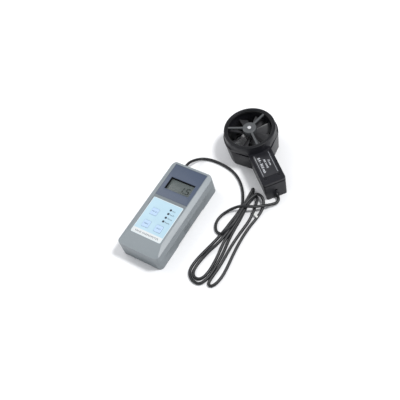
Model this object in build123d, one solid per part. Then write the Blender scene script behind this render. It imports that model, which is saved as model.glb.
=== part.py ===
"""Vane anemometer: a hand-held meter, a vane probe on a handle, and the cable that joins them.

Millimetres, +Z up. Everything lies on the plane z = 0. The origin is the middle of the base of the
box around the meter and the probe. +Y runs along the meter towards the end that the cable leaves.
"""
from build123d import *
import math
import os

# ---------------------------------------------------------------- driving dimensions
# Where the two instruments lie
METER_X, METER_FAR_Y = -46.0, 10.5  # middle of the meter's far end, where the cable leaves
PROBE_X, PROBE_Y = -0.3, 93.2       # axis of the vane
PROBE_TURN = -40.1                  # direction of the handle from the vane, degrees

# Meter case
CASE_W = 66.0
CASE_L = 142.0
METER_Y = METER_FAR_Y - CASE_L / 2
CROWN_H = 32.0          # the flat face between the shoulders
SHOULDER_W, SHOULDER_H = 6.0, 3.0   # slopes on both sides of that face
CASE_R = 6.0            # corners, seen from above
SEAM_Z = 17.0           # where front and back case meet
SEAM_GAP = 0.3
WALL = 2.2
FLAT_INSET, EDGE_INSET, CORNER_INSET = 0.45, 0.85, 0.8  # how far the cavity's corners follow the wall
ARCH_H = 2.5            # hollow under the middle of the case
ARCH_FAR, ARCH_NEAR = 36.0, -31.0
ARCH_FAR_RUN, ARCH_NEAR_RUN = 2.0, 3.0      # how far its ends slope
SLOPE_L, SLOPE_H = 21.0, 3.0        # the face slopes down towards the near end
FACE_W = CASE_W - 2 * SHOULDER_W
POCKET_GAP = 0.2        # a pocket is this much larger than the piece in it
BOSS_FOOT = ARCH_H + 0.5

# Display
PANEL_W, PANEL_L, PANEL_T = FACE_W - 2.6, 53.8, 1.2
PANEL_Y = 41.0
WINDOW_W, WINDOW_L = 39.0, 19.5
WINDOW_Y = 37.2
LENS_LAP, LENS_T = 2.0, 1.0         # the lens is this much wider than the window, on each side
LENS_W, LENS_L = WINDOW_W + 2 * LENS_LAP, WINDOW_L + 2 * LENS_LAP
LENS_GAP = 0.2
LCD_W, LCD_L, LCD_T = LENS_W + 2.0, LENS_L + 1.5, 2.6
LCD_FRAME_WALL = 2.5
ZEBRA_T, ZEBRA_INSET = 2.0, 3.0

# Keypad
KEYPAD_W, KEYPAD_L, KEYPAD_T = FACE_W - 5.6, 59.2, 0.5
KEYPAD_Y = -20.0
KEY_SIZE = 10.6
KEY_T = 0.9
KEY_STEM_R = 2.0
KEY_GAP = 0.25
KEY_TRAVEL = 0.4
KEY_REST_GAP = 0.1      # from a key to its switch when it is not pressed
KEY_CAP_T = KEY_T - KEY_TRAVEL + 0.3
KEYS = {"hold_key": (-10.0, -11.0), "max_min_key": (-10.0, -31.5), "unit_key": (10.0, -31.5)}

# Electronics and battery
BOARD_SIDE_GAP, BOARD_END_GAP = 2.8, 4.8
BOARD_W, BOARD_L = CASE_W - 2 * (WALL + BOARD_SIDE_GAP), CASE_L - 2 * (WALL + BOARD_END_GAP)
BOARD_T = 1.6
BOARD_Z = 21.6
SWITCH_SIZE, SWITCH_H = 6.0, 2.5
PLUNGER_R, PLUNGER_H = 1.7, 1.2
CHIPS = [(-14.0, 5.0, 12.0, 12.0, 2.0), (10.0, 8.0, 8.0, 10.0, 2.0), (14.0, -12.0, 5.0, 6.0, 1.8),
         (-2.0, -18.0, 6.0, 3.0, 1.5), (22.0, 8.0, 4.0, 9.0, 3.5)]
BATTERY_X, BATTERY_Y, BATTERY_H = 48.5, 26.5, 17.5
BATTERY_END_GAP = 3.55
BATTERY_AT = (0.0, -CASE_L / 2 + WALL + BATTERY_END_GAP + BATTERY_Y / 2)
BATTERY_R = 2.0
BAY_GAP = 0.6           # around the battery
BAY_WALL_T, BAY_WALL_H = 1.6, 11.0
TERMINALS = [(-6.35, 2.9), (6.35, 3.9)]     # across the battery's end, and radius
TERMINAL_H = 2.5
SNAP_T, SNAP_Y, SNAP_H, SNAP_GAP = 3.5, 24.0, 10.0, 0.3
COVER_W, COVER_L, COVER_T = 50.0, 35.5, 2.2
COVER_END = -CASE_L / 2 + COVER_L
COVER_LIFT = 0.3        # the cover is this far above the base
COVER_TONGUE = 1.2
COVER_GAP = 0.2
TONGUE_LIFT = COVER_LIFT + 0.6      # foot of the groove that the cover's tongues run in
GRIPS, GRIP_PITCH, GRIP_W, GRIP_L, GRIP_D = 5, 2.4, 16.0, 1.0, 0.5

# Screws
SCREW_R, SCREW_HEAD_R, SCREW_HEAD_H = 1.4, 2.7, 1.8
SCREW_GAP = 0.05        # around the shaft in its boss
CLEAR_GAP = 0.15        # around the shaft in the outer piece
BOARD_HOLE_GAP = 0.25
SCREW_BITE, BOARD_SCREW_BITE, PROBE_SCREW_BITE = 5.0, 4.5, 11.0
CROSS_L, CROSS_W, CROSS_D = 3.4, 0.7, 0.9   # cross in the head
BOSS_R, BOARD_BOSS_R = 3.4, 2.8
BOSS_WALL_GAP = 0.4
SCREW_X = CASE_W / 2 - WALL - BOSS_WALL_GAP - BOSS_R
SCREW_FAR_Y, SCREW_NEAR_Y = CASE_L / 2 - 10.0, -25.0
CASE_SCREWS = [(-SCREW_X, SCREW_FAR_Y), (SCREW_X, SCREW_FAR_Y), (-SCREW_X, SCREW_NEAR_Y),
               (SCREW_X, SCREW_NEAR_Y)]
BOARD_SCREWS = [(-22.0, -30.5), (22.0, -30.5)]
CASE_HEAD_Z = ARCH_H + 1.0

# Cable
CABLE_R = 2.0
METER_EXIT_X = -20.0
GROMMET_R, GROMMET_NECK_R = 3.6, 3.0
FLANGE_T = 2.0
GROMMET_OUT, GROMMET_TAPER = 2.5, 0.9

# Probe head
RIM_Z = 47.0
PART_Z = 31.0           # where front and rear shell meet
RIM_R = 36.0
RIM_WALL = 4.0
BORE_R = RIM_R - RIM_WALL
COLLAR_H = 7.0          # true cylinder below the rim, for slip-on adaptors
LEDGE_R = RIM_R + 2.3   # the front shell flares out to this at the parting
REAR_TOP_R, REAR_FOOT_R = RIM_R + 2.0, RIM_R - 0.6
MOUTH_CHAMFER, MOUTH_CHAMFER_W = 1.6, 2.0
GROOVE_H, GROOVE_D = 1.6, 1.4
SHELL_GAP = 0.1
SHOULDER_ANGLE = 68.5   # from the handle to the corner where the flat starts
FLAT_END_X = RIM_R - 3.0            # where the flat meets the handle
HANDLE_L = 55.0                     # beyond the rim
HANDLE_END_X = RIM_R + HANDLE_L
HANDLE_HALF = 16.0
HANDLE_FOOT_HALF = 14.6
HANDLE_TOP_Z = 35.0
HANDLE_R = 3.0
PROBE_WALL, PROBE_FLOOR = 2.0, 3.0
PROBE_SCREWS = [(HANDLE_END_X - 8.6, -9.4), (HANDLE_END_X - 8.6, 9.4), (RIM_R + 5.5, -11.6),
                (RIM_R + 5.5, 11.6)]
PROBE_HEAD_Z = HANDLE_TOP_Z - 0.4   # screw heads are sunk below the handle's top
PROBE_EXIT_Z = 5.0
SOCKET_Z, SOCKET_SIZE = 16.0, (3.0, 4.0, 3.0)
LABEL_L, LABEL_W, LABEL_T, LABEL_SINK = 41.0, 23.6, 0.8, 0.3
LABEL_X = RIM_R + 2.3 + LABEL_L / 2

# Vane
BRIDGE_GAP = 0.05
BRIDGE_RING_T = 1.2
ARM_W, ARM_H = 3.0, 3.2
HUB_R, HUB_Z, HUB_TOP_Z = 9.6, 41.5, 48.0
HUB_ROUND = 1.2
ARM_RIM_Z = 45.8        # top of an arm at the rim
REAR_HUB_R, REAR_HUB_Z, REAR_HUB_H = 7.0, 4.5, 6.5
PIVOT_R, PIVOT_HEAD_OUT = 2.6, 0.6
JEWEL_R, JEWEL_T, JEWEL_GAP = 1.9, 1.6, 0.05
PRESS_GAP = 0.02
PIVOT_SLOT_W, PIVOT_SLOT_D = 0.7, 0.7
AXLE_R, AXLE_TIP_R, AXLE_TIP_L, AXLE_END_GAP = 1.0, 0.5, 1.4, 0.3
VANE_HUB_R, VANE_Z, VANE_HUB_H = 7.5, 31.0, 11.0
BLADES = 8
BLADE_GAP = 1.0
BLADE_R, BLADE_T, BLADE_PITCH, BLADE_CHORD = BORE_R - BLADE_GAP, 0.9, 42.0, 14.5
MAGNET_R, MAGNET_H, MAGNET_LIFT = 3.6, 3.0, 3.5
SENSOR_GAP = 1.2
SENSOR_SIZE = (3.0, 4.0, 6.0)
PROBE_BOARD = (32.0, 20.0, 1.6)
PROBE_BOARD_X, PROBE_BOARD_Z = RIM_R + 26.0, 17.0
PROBE_CHIPS = [(-9.0, 0.0, 8.0, 8.0, 2.0), (2.0, 4.0, 6.0, 5.0, 1.6), (10.0, -4.0, 5.0, 4.0, 1.6)]

# Route of the cable where it is not in the hank, from the meter and from the probe
METER_ROUTE = [(-66.0, 22.0, 17.0), (-65.5, 32.0, 11.5), (-63.0, 41.0, 5.5), (-56.5, 47.5, 2.6),
               (-44.0, 50.0, 2.2), (-28.0, 49.5, 2.2), (-12.0, 46.5, 2.2), (1.0, 41.0, 2.2),
               (12.0, 33.0, 2.2), (21.5, 23.0, 2.2), (28.0, 12.5, 2.2), (33.6, 2.0, 2.2)]
PROBE_ROUTE = [(75.24, 29.59, 5.0), (75.4, 23.4, 4.0), (70.0, 17.4, 4.6), (62.5, 9.0, 8.6),
               (54.5, 2.2, 10.6), (46.0, -2.2, 12.2), (37.0, -5.0, 12.0), (27.5, -9.5, 7.0),
               (19.8, -16.5, 3.2), (15.2, -26.0, 2.2), (14.4, -35.5, 2.2), (17.4, -44.5, 2.2),
               (23.6, -50.6, 2.4), (31.6, -50.8, 3.4)]
# Outer shape of the folded hank, seen from above: all of it, and its thick middle
HANK_OUTLINE = [(33.0, 31.0), (32.2, -8.0), (29.6, -46.0), (22.5, -78.0), (17.0, -108.0),
                (20.5, -122.5), (30.0, -130.0), (45.0, -130.0), (62.0, -126.0), (68.5, -112.0),
                (67.0, -85.0), (62.2, -45.0), (63.8, -10.0), (67.0, 8.0), (60.0, 20.0),
                (46.0, 27.0), (40.0, 31.0)]
HANK_RIDGE = [(33.0, 31.0), (32.2, -8.0), (29.6, -46.0), (30.6, -58.0), (43.0, -58.0),
              (48.5, -20.0), (48.5, 5.0), (47.5, 20.0), (40.0, 31.0)]
HANK_H, HANK_RIDGE_H = 4.2, 8.2
HANK_R, HANK_RIDGE_R = 2.5, 2.0
ARC_SHARE = 0.45        # of the shorter run, taken up by an arc
TIE_AT, TIE_SIZE, TIE_TURN = (57.0, -5.5), (13.0, 2.8, 0.8), -24.0

BIG = 400.0


# ---------------------------------------------------------------- small helpers
def post(x, y, z0, z1, r):
    """upright cylinder from z0 to z1"""
    return Pos(x, y, (z0 + z1) / 2) * Cylinder(r, z1 - z0)


def block(x, y, z0, size_x, size_y, size_z):
    """upright box standing on z0"""
    return Pos(x, y, z0 + size_z / 2) * Box(size_x, size_y, size_z)


def meter(shape):
    """from the meter's own frame to the part's frame"""
    return Pos(METER_X, METER_Y, 0) * shape


def probe(shape):
    """from the probe's own frame, with the handle along +X, to the part's frame"""
    return Pos(PROBE_X, PROBE_Y, 0) * Rot(0, 0, PROBE_TURN) * shape


parts = {}


# ---------------------------------------------------------------- meter case
def case_form(inset, floor):
    """the case's outer form, or its cavity when inset by the wall"""
    half, flat = CASE_W / 2 - inset, FACE_W / 2 - inset * FLAT_INSET
    edge, crown = CROWN_H - SHOULDER_H - inset * EDGE_INSET, CROWN_H - inset
    section = Polyline((-half, floor), (half, floor), (half, edge), (flat, crown), (-flat, crown),
                       (-half, edge), close=True)
    form = extrude(Plane.XZ * make_face(section), CASE_L / 2 - inset, both=True)
    plan = RectangleRounded(2 * half, CASE_L - 2 * inset, CASE_R - inset * CORNER_INSET)
    form &= extrude(plan, CROWN_H + 1)
    start_y, end_y = SLOPE_L - CASE_L / 2, -CASE_L / 2 - 5
    end_z = crown - SLOPE_H * (start_y - end_y) / SLOPE_L
    slope = Polyline((start_y, crown), (start_y, crown + 9), (end_y, crown + 9), (end_y, end_z),
                     close=True)
    return form - extrude(Plane.YZ * make_face(slope), CASE_W, both=True)


envelope = case_form(0, 0)
arch = Polyline((ARCH_FAR, 0), (ARCH_FAR - ARCH_FAR_RUN, ARCH_H), (ARCH_NEAR + ARCH_NEAR_RUN, ARCH_H),
                (ARCH_NEAR, 0), close=True)
envelope -= extrude(Plane.YZ * make_face(arch), CASE_W, both=True)
cavity = case_form(WALL, ARCH_H + WALL)
shell = envelope - cavity
above_seam = block(0, 0, SEAM_Z, BIG, BIG, BIG)
below_seam = block(0, 0, SEAM_Z - SEAM_GAP - BIG, BIG, BIG, BIG)

exit_hole = Pos(METER_EXIT_X, CASE_L / 2, SEAM_Z) * Rot(90, 0, 0) * Cylinder(GROMMET_NECK_R, 12)

front = shell & above_seam
BOARD_TOP = BOARD_Z + BOARD_T
for x, y in CASE_SCREWS:
    front += post(x, y, BOARD_TOP, CROWN_H - WALL + 0.6, BOSS_R) & envelope
front = front - exit_hole
panel_pocket = block(0, PANEL_Y, CROWN_H - PANEL_T, PANEL_W + POCKET_GAP, PANEL_L + POCKET_GAP,
                     PANEL_T + 1)
keypad_pocket = block(0, KEYPAD_Y, CROWN_H - KEYPAD_T, KEYPAD_W + POCKET_GAP, KEYPAD_L + POCKET_GAP,
                      KEYPAD_T + 1)
front -= panel_pocket + keypad_pocket
front -= block(0, WINDOW_Y, CROWN_H - 9, WINDOW_W, WINDOW_L, 10)
for x, y in KEYS.values():
    front -= block(x, y, CROWN_H - KEY_T, KEY_SIZE + 2 * KEY_GAP, KEY_SIZE + 2 * KEY_GAP, 2)
    front -= post(x, y, CROWN_H - 6, CROWN_H, KEY_STEM_R + KEY_GAP)
SCREW_TOP = BOARD_TOP + SCREW_BITE
for x, y in CASE_SCREWS:
    front -= post(x, y, BOARD_TOP - 1, SCREW_TOP + 0.5, SCREW_R + SCREW_GAP)
parts["front_case"] = meter(front)

# Back case, with the battery bay opening to the near end
HEAD_SEAT = CASE_HEAD_Z + SCREW_HEAD_H
back = shell & below_seam
for x, y in CASE_SCREWS:
    back += post(x, y, BOSS_FOOT, BOARD_Z, BOSS_R) & envelope
for x, y in BOARD_SCREWS:
    back += post(x, y, BOSS_FOOT, BOARD_Z, BOARD_BOSS_R)
bay_inner = BATTERY_AT[1] + BATTERY_Y / 2 + BAY_GAP
back += block(0, bay_inner + BAY_WALL_T / 2, BOSS_FOOT, CASE_W - 2 * WALL + 1, BAY_WALL_T, BAY_WALL_H)
for x, y in CASE_SCREWS:
    back -= post(x, y, -1, HEAD_SEAT, SCREW_HEAD_R + POCKET_GAP)
    back -= post(x, y, -1, BOARD_Z + 1, SCREW_R + CLEAR_GAP)
for x, y in BOARD_SCREWS:
    back -= post(x, y, BOARD_Z - BOARD_SCREW_BITE - 1.5, BOARD_Z + 1, SCREW_R + SCREW_GAP)
cover_y = (COVER_END - CASE_L / 2) / 2
cover_l = COVER_END + CASE_L / 2
slot_w, slot_z = COVER_W + 2 * COVER_GAP, COVER_T + COVER_LIFT + COVER_GAP
back -= block(0, cover_y - 1, -1, slot_w, cover_l + 2 + 2 * COVER_GAP, slot_z + 1)
back -= block(0, cover_y - 1, TONGUE_LIFT, slot_w + 2 * COVER_TONGUE,
              cover_l + 2 + 2 * COVER_GAP, COVER_TONGUE + 2 * COVER_GAP)
back -= block(*BATTERY_AT, 0, BATTERY_X + 2 * BAY_GAP, BATTERY_Y + 2 * BAY_GAP, 8)
back -= exit_hole
parts["back_case"] = meter(back)

cover = block(0, cover_y, COVER_LIFT, COVER_W, cover_l, COVER_T) & envelope
cover += block(0, cover_y, TONGUE_LIFT + COVER_GAP, COVER_W + 2 * (COVER_TONGUE - COVER_GAP), cover_l - 8,
               COVER_TONGUE) & envelope
for i in range(GRIPS):
    cover -= block(0, cover_y - 9 + GRIP_PITCH * i, COVER_LIFT - 1, GRIP_W, GRIP_L, 1 + GRIP_D)
parts["battery_cover"] = meter(cover)

# Display
panel = block(0, PANEL_Y, CROWN_H - PANEL_T, PANEL_W, PANEL_L, PANEL_T)
panel -= block(0, WINDOW_Y, CROWN_H - 9, WINDOW_W, WINDOW_L, 10)
parts["display_panel"] = meter(panel)
lens_z = CROWN_H - WALL - LENS_T
parts["window_lens"] = meter(block(0, WINDOW_Y, lens_z, LENS_W, LENS_L, LENS_T))
lcd_z = lens_z - LENS_GAP - LCD_T
parts["lcd_glass"] = meter(block(0, WINDOW_Y, lcd_z, LCD_W, LCD_L, LCD_T))
frame_w, frame_l = LCD_W + 2 * LCD_FRAME_WALL, LCD_L + 2 * LCD_FRAME_WALL
lcd_frame = block(0, WINDOW_Y, BOARD_TOP, frame_w, frame_l, lcd_z + LCD_T - BOARD_TOP)
lcd_frame -= block(0, WINDOW_Y, 0, LCD_W + POCKET_GAP, LCD_L + POCKET_GAP, BIG)
parts["lcd_frame"] = meter(lcd_frame)
zebra = Compound([block(0, WINDOW_Y + s * (LCD_L / 2 - ZEBRA_T), BOARD_TOP, LCD_W - ZEBRA_INSET, ZEBRA_T,
                        lcd_z - BOARD_TOP) for s in (-1, 1)])
parts["lcd_connectors"] = meter(zebra)

# Keypad
overlay = block(0, KEYPAD_Y, CROWN_H - KEYPAD_T, KEYPAD_W, KEYPAD_L, KEYPAD_T)
switch_top = BOARD_TOP + SWITCH_H
for name, (x, y) in KEYS.items():
    overlay -= block(x, y, CROWN_H - 2, KEY_SIZE + 2 * KEY_GAP, KEY_SIZE + 2 * KEY_GAP, 3)
    key_z = CROWN_H - KEY_T + KEY_TRAVEL + KEY_REST_GAP
    key = block(x, y, key_z, KEY_SIZE, KEY_SIZE, KEY_CAP_T)
    key += post(x, y, switch_top + PLUNGER_H + KEY_TRAVEL + KEY_REST_GAP, key_z + 0.2, KEY_STEM_R)
    parts[name] = meter(key)
parts["keypad_overlay"] = meter(overlay)

# Board
board = block(0, 0, BOARD_Z, BOARD_W, BOARD_L, BOARD_T)
for x, y in CASE_SCREWS:
    board -= post(x, y, 0, BIG, SCREW_R + BOARD_HOLE_GAP)
for x, y in BOARD_SCREWS:
    board -= post(x, y, 0, BIG, SCREW_R + BOARD_HOLE_GAP)
parts["main_board"] = meter(board)
chips = [block(x, y, BOARD_TOP, sx, sy, sz) for x, y, sx, sy, sz in CHIPS]
parts["board_components"] = meter(Compound(chips))
switches = [block(x, y, BOARD_TOP, SWITCH_SIZE, SWITCH_SIZE, SWITCH_H)
            + post(x, y, switch_top, switch_top + PLUNGER_H, PLUNGER_R) for x, y in KEYS.values()]
parts["key_switches"] = meter(Compound(switches))


def screw(x, y, head_z, tip_z, up=True):
    """pan-head screw; its head starts at head_z and its shaft ends at tip_z"""
    s = 1 if up else -1
    seat = head_z + s * SCREW_HEAD_H
    body = post(x, y, min(head_z, seat), max(head_z, seat), SCREW_HEAD_R)
    body += post(x, y, min(head_z, tip_z), max(head_z, tip_z), SCREW_R)
    cut = min(head_z, head_z + s * CROSS_D)
    body -= block(x, y, cut, CROSS_L, CROSS_W, CROSS_D)
    return body - block(x, y, cut, CROSS_W, CROSS_L, CROSS_D)


parts["case_screws"] = meter(Compound([screw(x, y, CASE_HEAD_Z, SCREW_TOP)
                                       for x, y in CASE_SCREWS]))
board_head_z, board_tip_z = BOARD_TOP + SCREW_HEAD_H, BOARD_Z - BOARD_SCREW_BITE
parts["board_screws"] = meter(Compound([screw(x, y, board_head_z, board_tip_z, up=False)
                                        for x, y in BOARD_SCREWS]))

# Battery and its snap connector
battery_z = COVER_LIFT + COVER_T + 0.2
bx, by = BATTERY_AT
battery = block(bx, by, battery_z, BATTERY_X, BATTERY_Y, BATTERY_H)
battery = fillet(battery.edges().filter_by(Axis.X), BATTERY_R)
end_x, terminal_z = bx + BATTERY_X / 2, battery_z + BATTERY_H / 2
snap = Pos(end_x + SNAP_GAP + SNAP_T / 2, by, terminal_z) * Box(SNAP_T, SNAP_Y, SNAP_H)
for across, radius in TERMINALS:
    at = Pos(end_x + TERMINAL_H / 2, by + across, terminal_z) * Rot(0, 90, 0)
    battery += at * Cylinder(radius, TERMINAL_H)
    snap -= at * Cylinder(radius + 0.1, TERMINAL_H + POCKET_GAP)
parts["battery"] = meter(battery)
parts["battery_snap"] = meter(snap)


# ---------------------------------------------------------------- cable grommets
def grommet(wall):
    """flanged bush along +X whose outer flange starts at x = 0"""
    turned = Rot(0, 90, 0)
    body = Pos(GROMMET_OUT / 2, 0, 0) * turned * Cone(GROMMET_R, GROMMET_R - GROMMET_TAPER, GROMMET_OUT)
    body += Pos(-wall / 2, 0, 0) * turned * Cylinder(GROMMET_NECK_R - 0.1, wall)
    body += Pos(-wall - FLANGE_T / 2, 0, 0) * turned * Cylinder(GROMMET_R, FLANGE_T)
    return body


meter_grommet = Pos(METER_EXIT_X, CASE_L / 2 + 0.05, SEAM_Z) * Rot(0, 0, 90) * grommet(WALL + 0.1)
parts["meter_grommet"] = meter(meter_grommet)


# ---------------------------------------------------------------- probe shells
def head_plan(radius, handle_half, end_x):
    """outline of head and handle: an arc, a flat on each side of the handle, and the handle"""
    a = math.radians(SHOULDER_ANGLE)
    vx, vy = radius * math.cos(a), radius * math.sin(a)
    arc = Circle(radius) - Pos(vx + BIG / 2, 0) * Rectangle(BIG, BIG)
    flats = Polyline((0, -vy), (vx, -vy), (FLAT_END_X, -handle_half), (end_x, -handle_half),
                     (end_x, handle_half), (FLAT_END_X, handle_half), (vx, vy), (0, vy), close=True)
    return arc + make_face(flats)


lower = loft([head_plan(REAR_FOOT_R, HANDLE_FOOT_HALF, HANDLE_END_X).face(),
              Pos(0, 0, PART_Z) * head_plan(REAR_TOP_R, HANDLE_HALF, HANDLE_END_X).face()])
upper = extrude(Pos(0, 0, PART_Z) * head_plan(LEDGE_R, HANDLE_HALF, HANDLE_END_X), HANDLE_TOP_Z - PART_Z)
upper = fillet(upper.edges().filter_by(Axis.Z).sort_by(Axis.X)[-2:], HANDLE_R)
collar_z = RIM_Z - COLLAR_H
flare = Pos(0, 0, (PART_Z + collar_z) / 2) * Cone(LEDGE_R, RIM_R, collar_z - PART_Z)
flare &= extrude(Pos(0, 0, PART_Z) * head_plan(LEDGE_R, HANDLE_HALF, HANDLE_END_X), collar_z - PART_Z)
collar = post(0, 0, collar_z, RIM_Z, RIM_R)
bore = post(0, 0, -1, RIM_Z + 1, BORE_R)
hollow_start, hollow_end = RIM_R + 1.0, HANDLE_END_X - PROBE_WALL
hollow_x, hollow_l = (hollow_start + hollow_end) / 2, hollow_end - hollow_start
cavity_low = block(hollow_x, 0, PROBE_FLOOR, hollow_l, 2 * HANDLE_FOOT_HALF - 3.4, PART_Z - PROBE_FLOOR)
cavity_high = block(hollow_x, 0, PART_Z - 1, hollow_l, 2 * HANDLE_HALF - 4.5,
                    HANDLE_TOP_Z - PART_Z - PROBE_WALL + 1)

front_shell = upper + flare + collar - bore - cavity_high
mouth = Cone(BORE_R, BORE_R + MOUTH_CHAMFER_W, MOUTH_CHAMFER)
front_shell -= Pos(0, 0, RIM_Z - MOUTH_CHAMFER / 2) * mouth
for x, y in PROBE_SCREWS:
    front_shell += post(x, y, PART_Z, HANDLE_TOP_Z - 0.5, BOSS_R)
    front_shell -= post(x, y, PART_Z - 1, HANDLE_TOP_Z + 1, SCREW_R + CLEAR_GAP)
    front_shell -= post(x, y, PROBE_HEAD_Z - SCREW_HEAD_H, HANDLE_TOP_Z + 1, SCREW_HEAD_R + POCKET_GAP)
front_shell -= block(LABEL_X, 0, HANDLE_TOP_Z - LABEL_SINK, LABEL_L + POCKET_GAP, LABEL_W + POCKET_GAP, 2)
parts["probe_front_shell"] = probe(front_shell)

rear_shell = lower - bore - cavity_low
for x, y in PROBE_SCREWS:
    rear_shell += post(x, y, PROBE_FLOOR - 1, PART_Z - SEAM_GAP, BOSS_R) & lower
    rear_shell -= post(x, y, PART_Z - PROBE_SCREW_BITE - 1, PART_Z + 1, SCREW_R + SCREW_GAP)
groove_ring = head_plan(REAR_TOP_R + 5, HANDLE_HALF + 5, HANDLE_END_X + 5) \
    - head_plan(REAR_TOP_R - GROOVE_D, HANDLE_HALF - 1.0, HANDLE_END_X - 1.0)
rear_shell -= extrude(Pos(0, 0, PART_Z - GROOVE_H) * groove_ring, GROOVE_H + 1)
rear_shell -= block(0, 0, PART_Z - SHELL_GAP, BIG, BIG, 5)
probe_hole = Pos(HANDLE_END_X, 0, PROBE_EXIT_Z) * Rot(0, 90, 0) * Cylinder(GROMMET_NECK_R, 12)
rear_shell -= probe_hole
recess_t = FLANGE_T + 2 * POCKET_GAP
flange_at = Pos(HANDLE_END_X - PROBE_WALL - recess_t / 2, 0, PROBE_EXIT_Z) * Rot(0, 90, 0)
rear_shell -= flange_at * Cylinder(GROMMET_R + POCKET_GAP, recess_t)
rear_shell -= Pos(HANDLE_END_X, 0, SOCKET_Z) * Box(*SOCKET_SIZE)
parts["probe_rear_shell"] = probe(rear_shell)
parts["probe_grommet"] = probe(Pos(HANDLE_END_X + 0.05, 0, PROBE_EXIT_Z) * grommet(PROBE_WALL + 0.1))
parts["probe_label"] = probe(block(LABEL_X, 0, HANDLE_TOP_Z - LABEL_SINK, LABEL_L, LABEL_W, LABEL_T))
parts["probe_screws"] = probe(Compound([screw(x, y, PROBE_HEAD_Z, PART_Z - PROBE_SCREW_BITE, up=False)
                                        for x, y in PROBE_SCREWS]))


# ---------------------------------------------------------------- bridges, pivots and vane
def bridge_ring(z0, height):
    ring = post(0, 0, z0, z0 + height, BORE_R - BRIDGE_GAP)
    return ring - post(0, 0, z0 - 1, z0 + height + 1, BORE_R - BRIDGE_RING_T)


def arm(angle, z_hub, z_rim, inner):
    """bar from the hub to the ring, with its top rising from z_rim to z_hub"""
    side = Polyline((inner, z_hub), (BORE_R - 0.6, z_rim), (BORE_R - 0.6, z_rim - ARM_H),
                    (inner, z_hub - ARM_H), close=True)
    return Rot(0, 0, angle) * extrude(Plane.XZ * make_face(side), ARM_W / 2, both=True)


front_bridge = post(0, 0, HUB_Z, HUB_TOP_Z, HUB_R)
front_bridge = fillet(front_bridge.edges().group_by(Axis.Z)[-1], HUB_ROUND)
front_bridge += bridge_ring(ARM_RIM_Z - ARM_H, ARM_H)
for i in range(3):
    front_bridge += arm(120 * i, HUB_TOP_Z - 0.6, ARM_RIM_Z, HUB_R - 1)
front_bridge -= post(0, 0, HUB_Z + JEWEL_T, HUB_TOP_Z + 1, PIVOT_R)
front_bridge -= post(0, 0, HUB_Z - 1, HUB_Z + JEWEL_T, JEWEL_R + PRESS_GAP)
parts["front_bridge"] = probe(front_bridge)
front_screw = post(0, 0, HUB_Z + JEWEL_T + 0.2, HUB_TOP_Z + PIVOT_HEAD_OUT, PIVOT_R - PRESS_GAP)
front_screw -= block(0, 0, HUB_TOP_Z + PIVOT_HEAD_OUT - PIVOT_SLOT_D, 4.0, PIVOT_SLOT_W, 1)
parts["front_pivot_screw"] = probe(front_screw)

rear_top = REAR_HUB_Z + REAR_HUB_H
rear_bridge = post(0, 0, REAR_HUB_Z, rear_top, REAR_HUB_R)
rear_bridge += bridge_ring(REAR_HUB_Z, ARM_H)
for i in range(3):
    rear_bridge += arm(60 + 120 * i, REAR_HUB_Z + ARM_H, REAR_HUB_Z + ARM_H, REAR_HUB_R - 1)
rear_bridge -= post(0, 0, REAR_HUB_Z - 1, rear_top - JEWEL_T, PIVOT_R)
rear_bridge -= post(0, 0, rear_top - JEWEL_T, rear_top + 1, JEWEL_R + PRESS_GAP)
parts["rear_bridge"] = probe(rear_bridge)
rear_screw = post(0, 0, REAR_HUB_Z, rear_top - JEWEL_T - 0.2, PIVOT_R - PRESS_GAP)
rear_screw -= block(0, 0, REAR_HUB_Z - 1 + PIVOT_SLOT_D, 4.0, PIVOT_SLOT_W, 1)
parts["rear_pivot_screw"] = probe(rear_screw)

tip_hole = AXLE_TIP_R + JEWEL_GAP
parts["front_jewel"] = probe(post(0, 0, HUB_Z, HUB_Z + JEWEL_T, JEWEL_R) - post(0, 0, 0, BIG, tip_hole))
parts["rear_jewel"] = probe(post(0, 0, rear_top - JEWEL_T, rear_top, JEWEL_R) - post(0, 0, 0, BIG, tip_hole))

axle_foot, axle_top = rear_top + AXLE_END_GAP, HUB_Z - AXLE_END_GAP
axle = post(0, 0, axle_foot, axle_top, AXLE_R)
axle += post(0, 0, axle_foot - AXLE_TIP_L, axle_top + AXLE_TIP_L, AXLE_TIP_R)
parts["vane_axle"] = probe(axle)


def blade(angle):
    """flat plate, turned about its own radius by the pitch"""
    plate = Pos((VANE_HUB_R + BLADE_R) / 2 - 0.5, 0, VANE_Z) * Rot(BLADE_PITCH, 0, 0) \
        * Box(BLADE_R - VANE_HUB_R + 4, BLADE_CHORD, BLADE_T)
    return Rot(0, 0, angle) * plate


blades = blade(0)
for i in range(1, BLADES):
    blades += blade(360 / BLADES * i)
blades &= post(0, 0, 0, BIG, BLADE_R)
vane = blades - post(0, 0, 0, BIG, VANE_HUB_R - 1) + post(0, 0, VANE_Z - VANE_HUB_H / 2,
                                                         VANE_Z + VANE_HUB_H / 2, VANE_HUB_R)
vane -= post(0, 0, 0, BIG, AXLE_R)
parts["vane"] = probe(vane)
magnet_z = rear_top + MAGNET_LIFT
parts["vane_magnet"] = probe(post(0, 0, magnet_z, magnet_z + MAGNET_H, MAGNET_R) - post(0, 0, 0, BIG, AXLE_R))
sensor = block(MAGNET_R + SENSOR_GAP + SENSOR_SIZE[0] / 2, 0, rear_top, *SENSOR_SIZE) \
    & post(0, 0, 0, BIG, REAR_HUB_R + 3)
parts["pickup_sensor"] = probe(sensor)

board_l, board_w, board_t = PROBE_BOARD
parts["probe_board"] = probe(block(PROBE_BOARD_X, 0, PROBE_BOARD_Z, board_l, board_w, board_t))
parts["probe_board_components"] = probe(Compound(
    [block(PROBE_BOARD_X + x, y, PROBE_BOARD_Z + board_t, sx, sy, sz) for x, y, sx, sy, sz in PROBE_CHIPS]))


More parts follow.
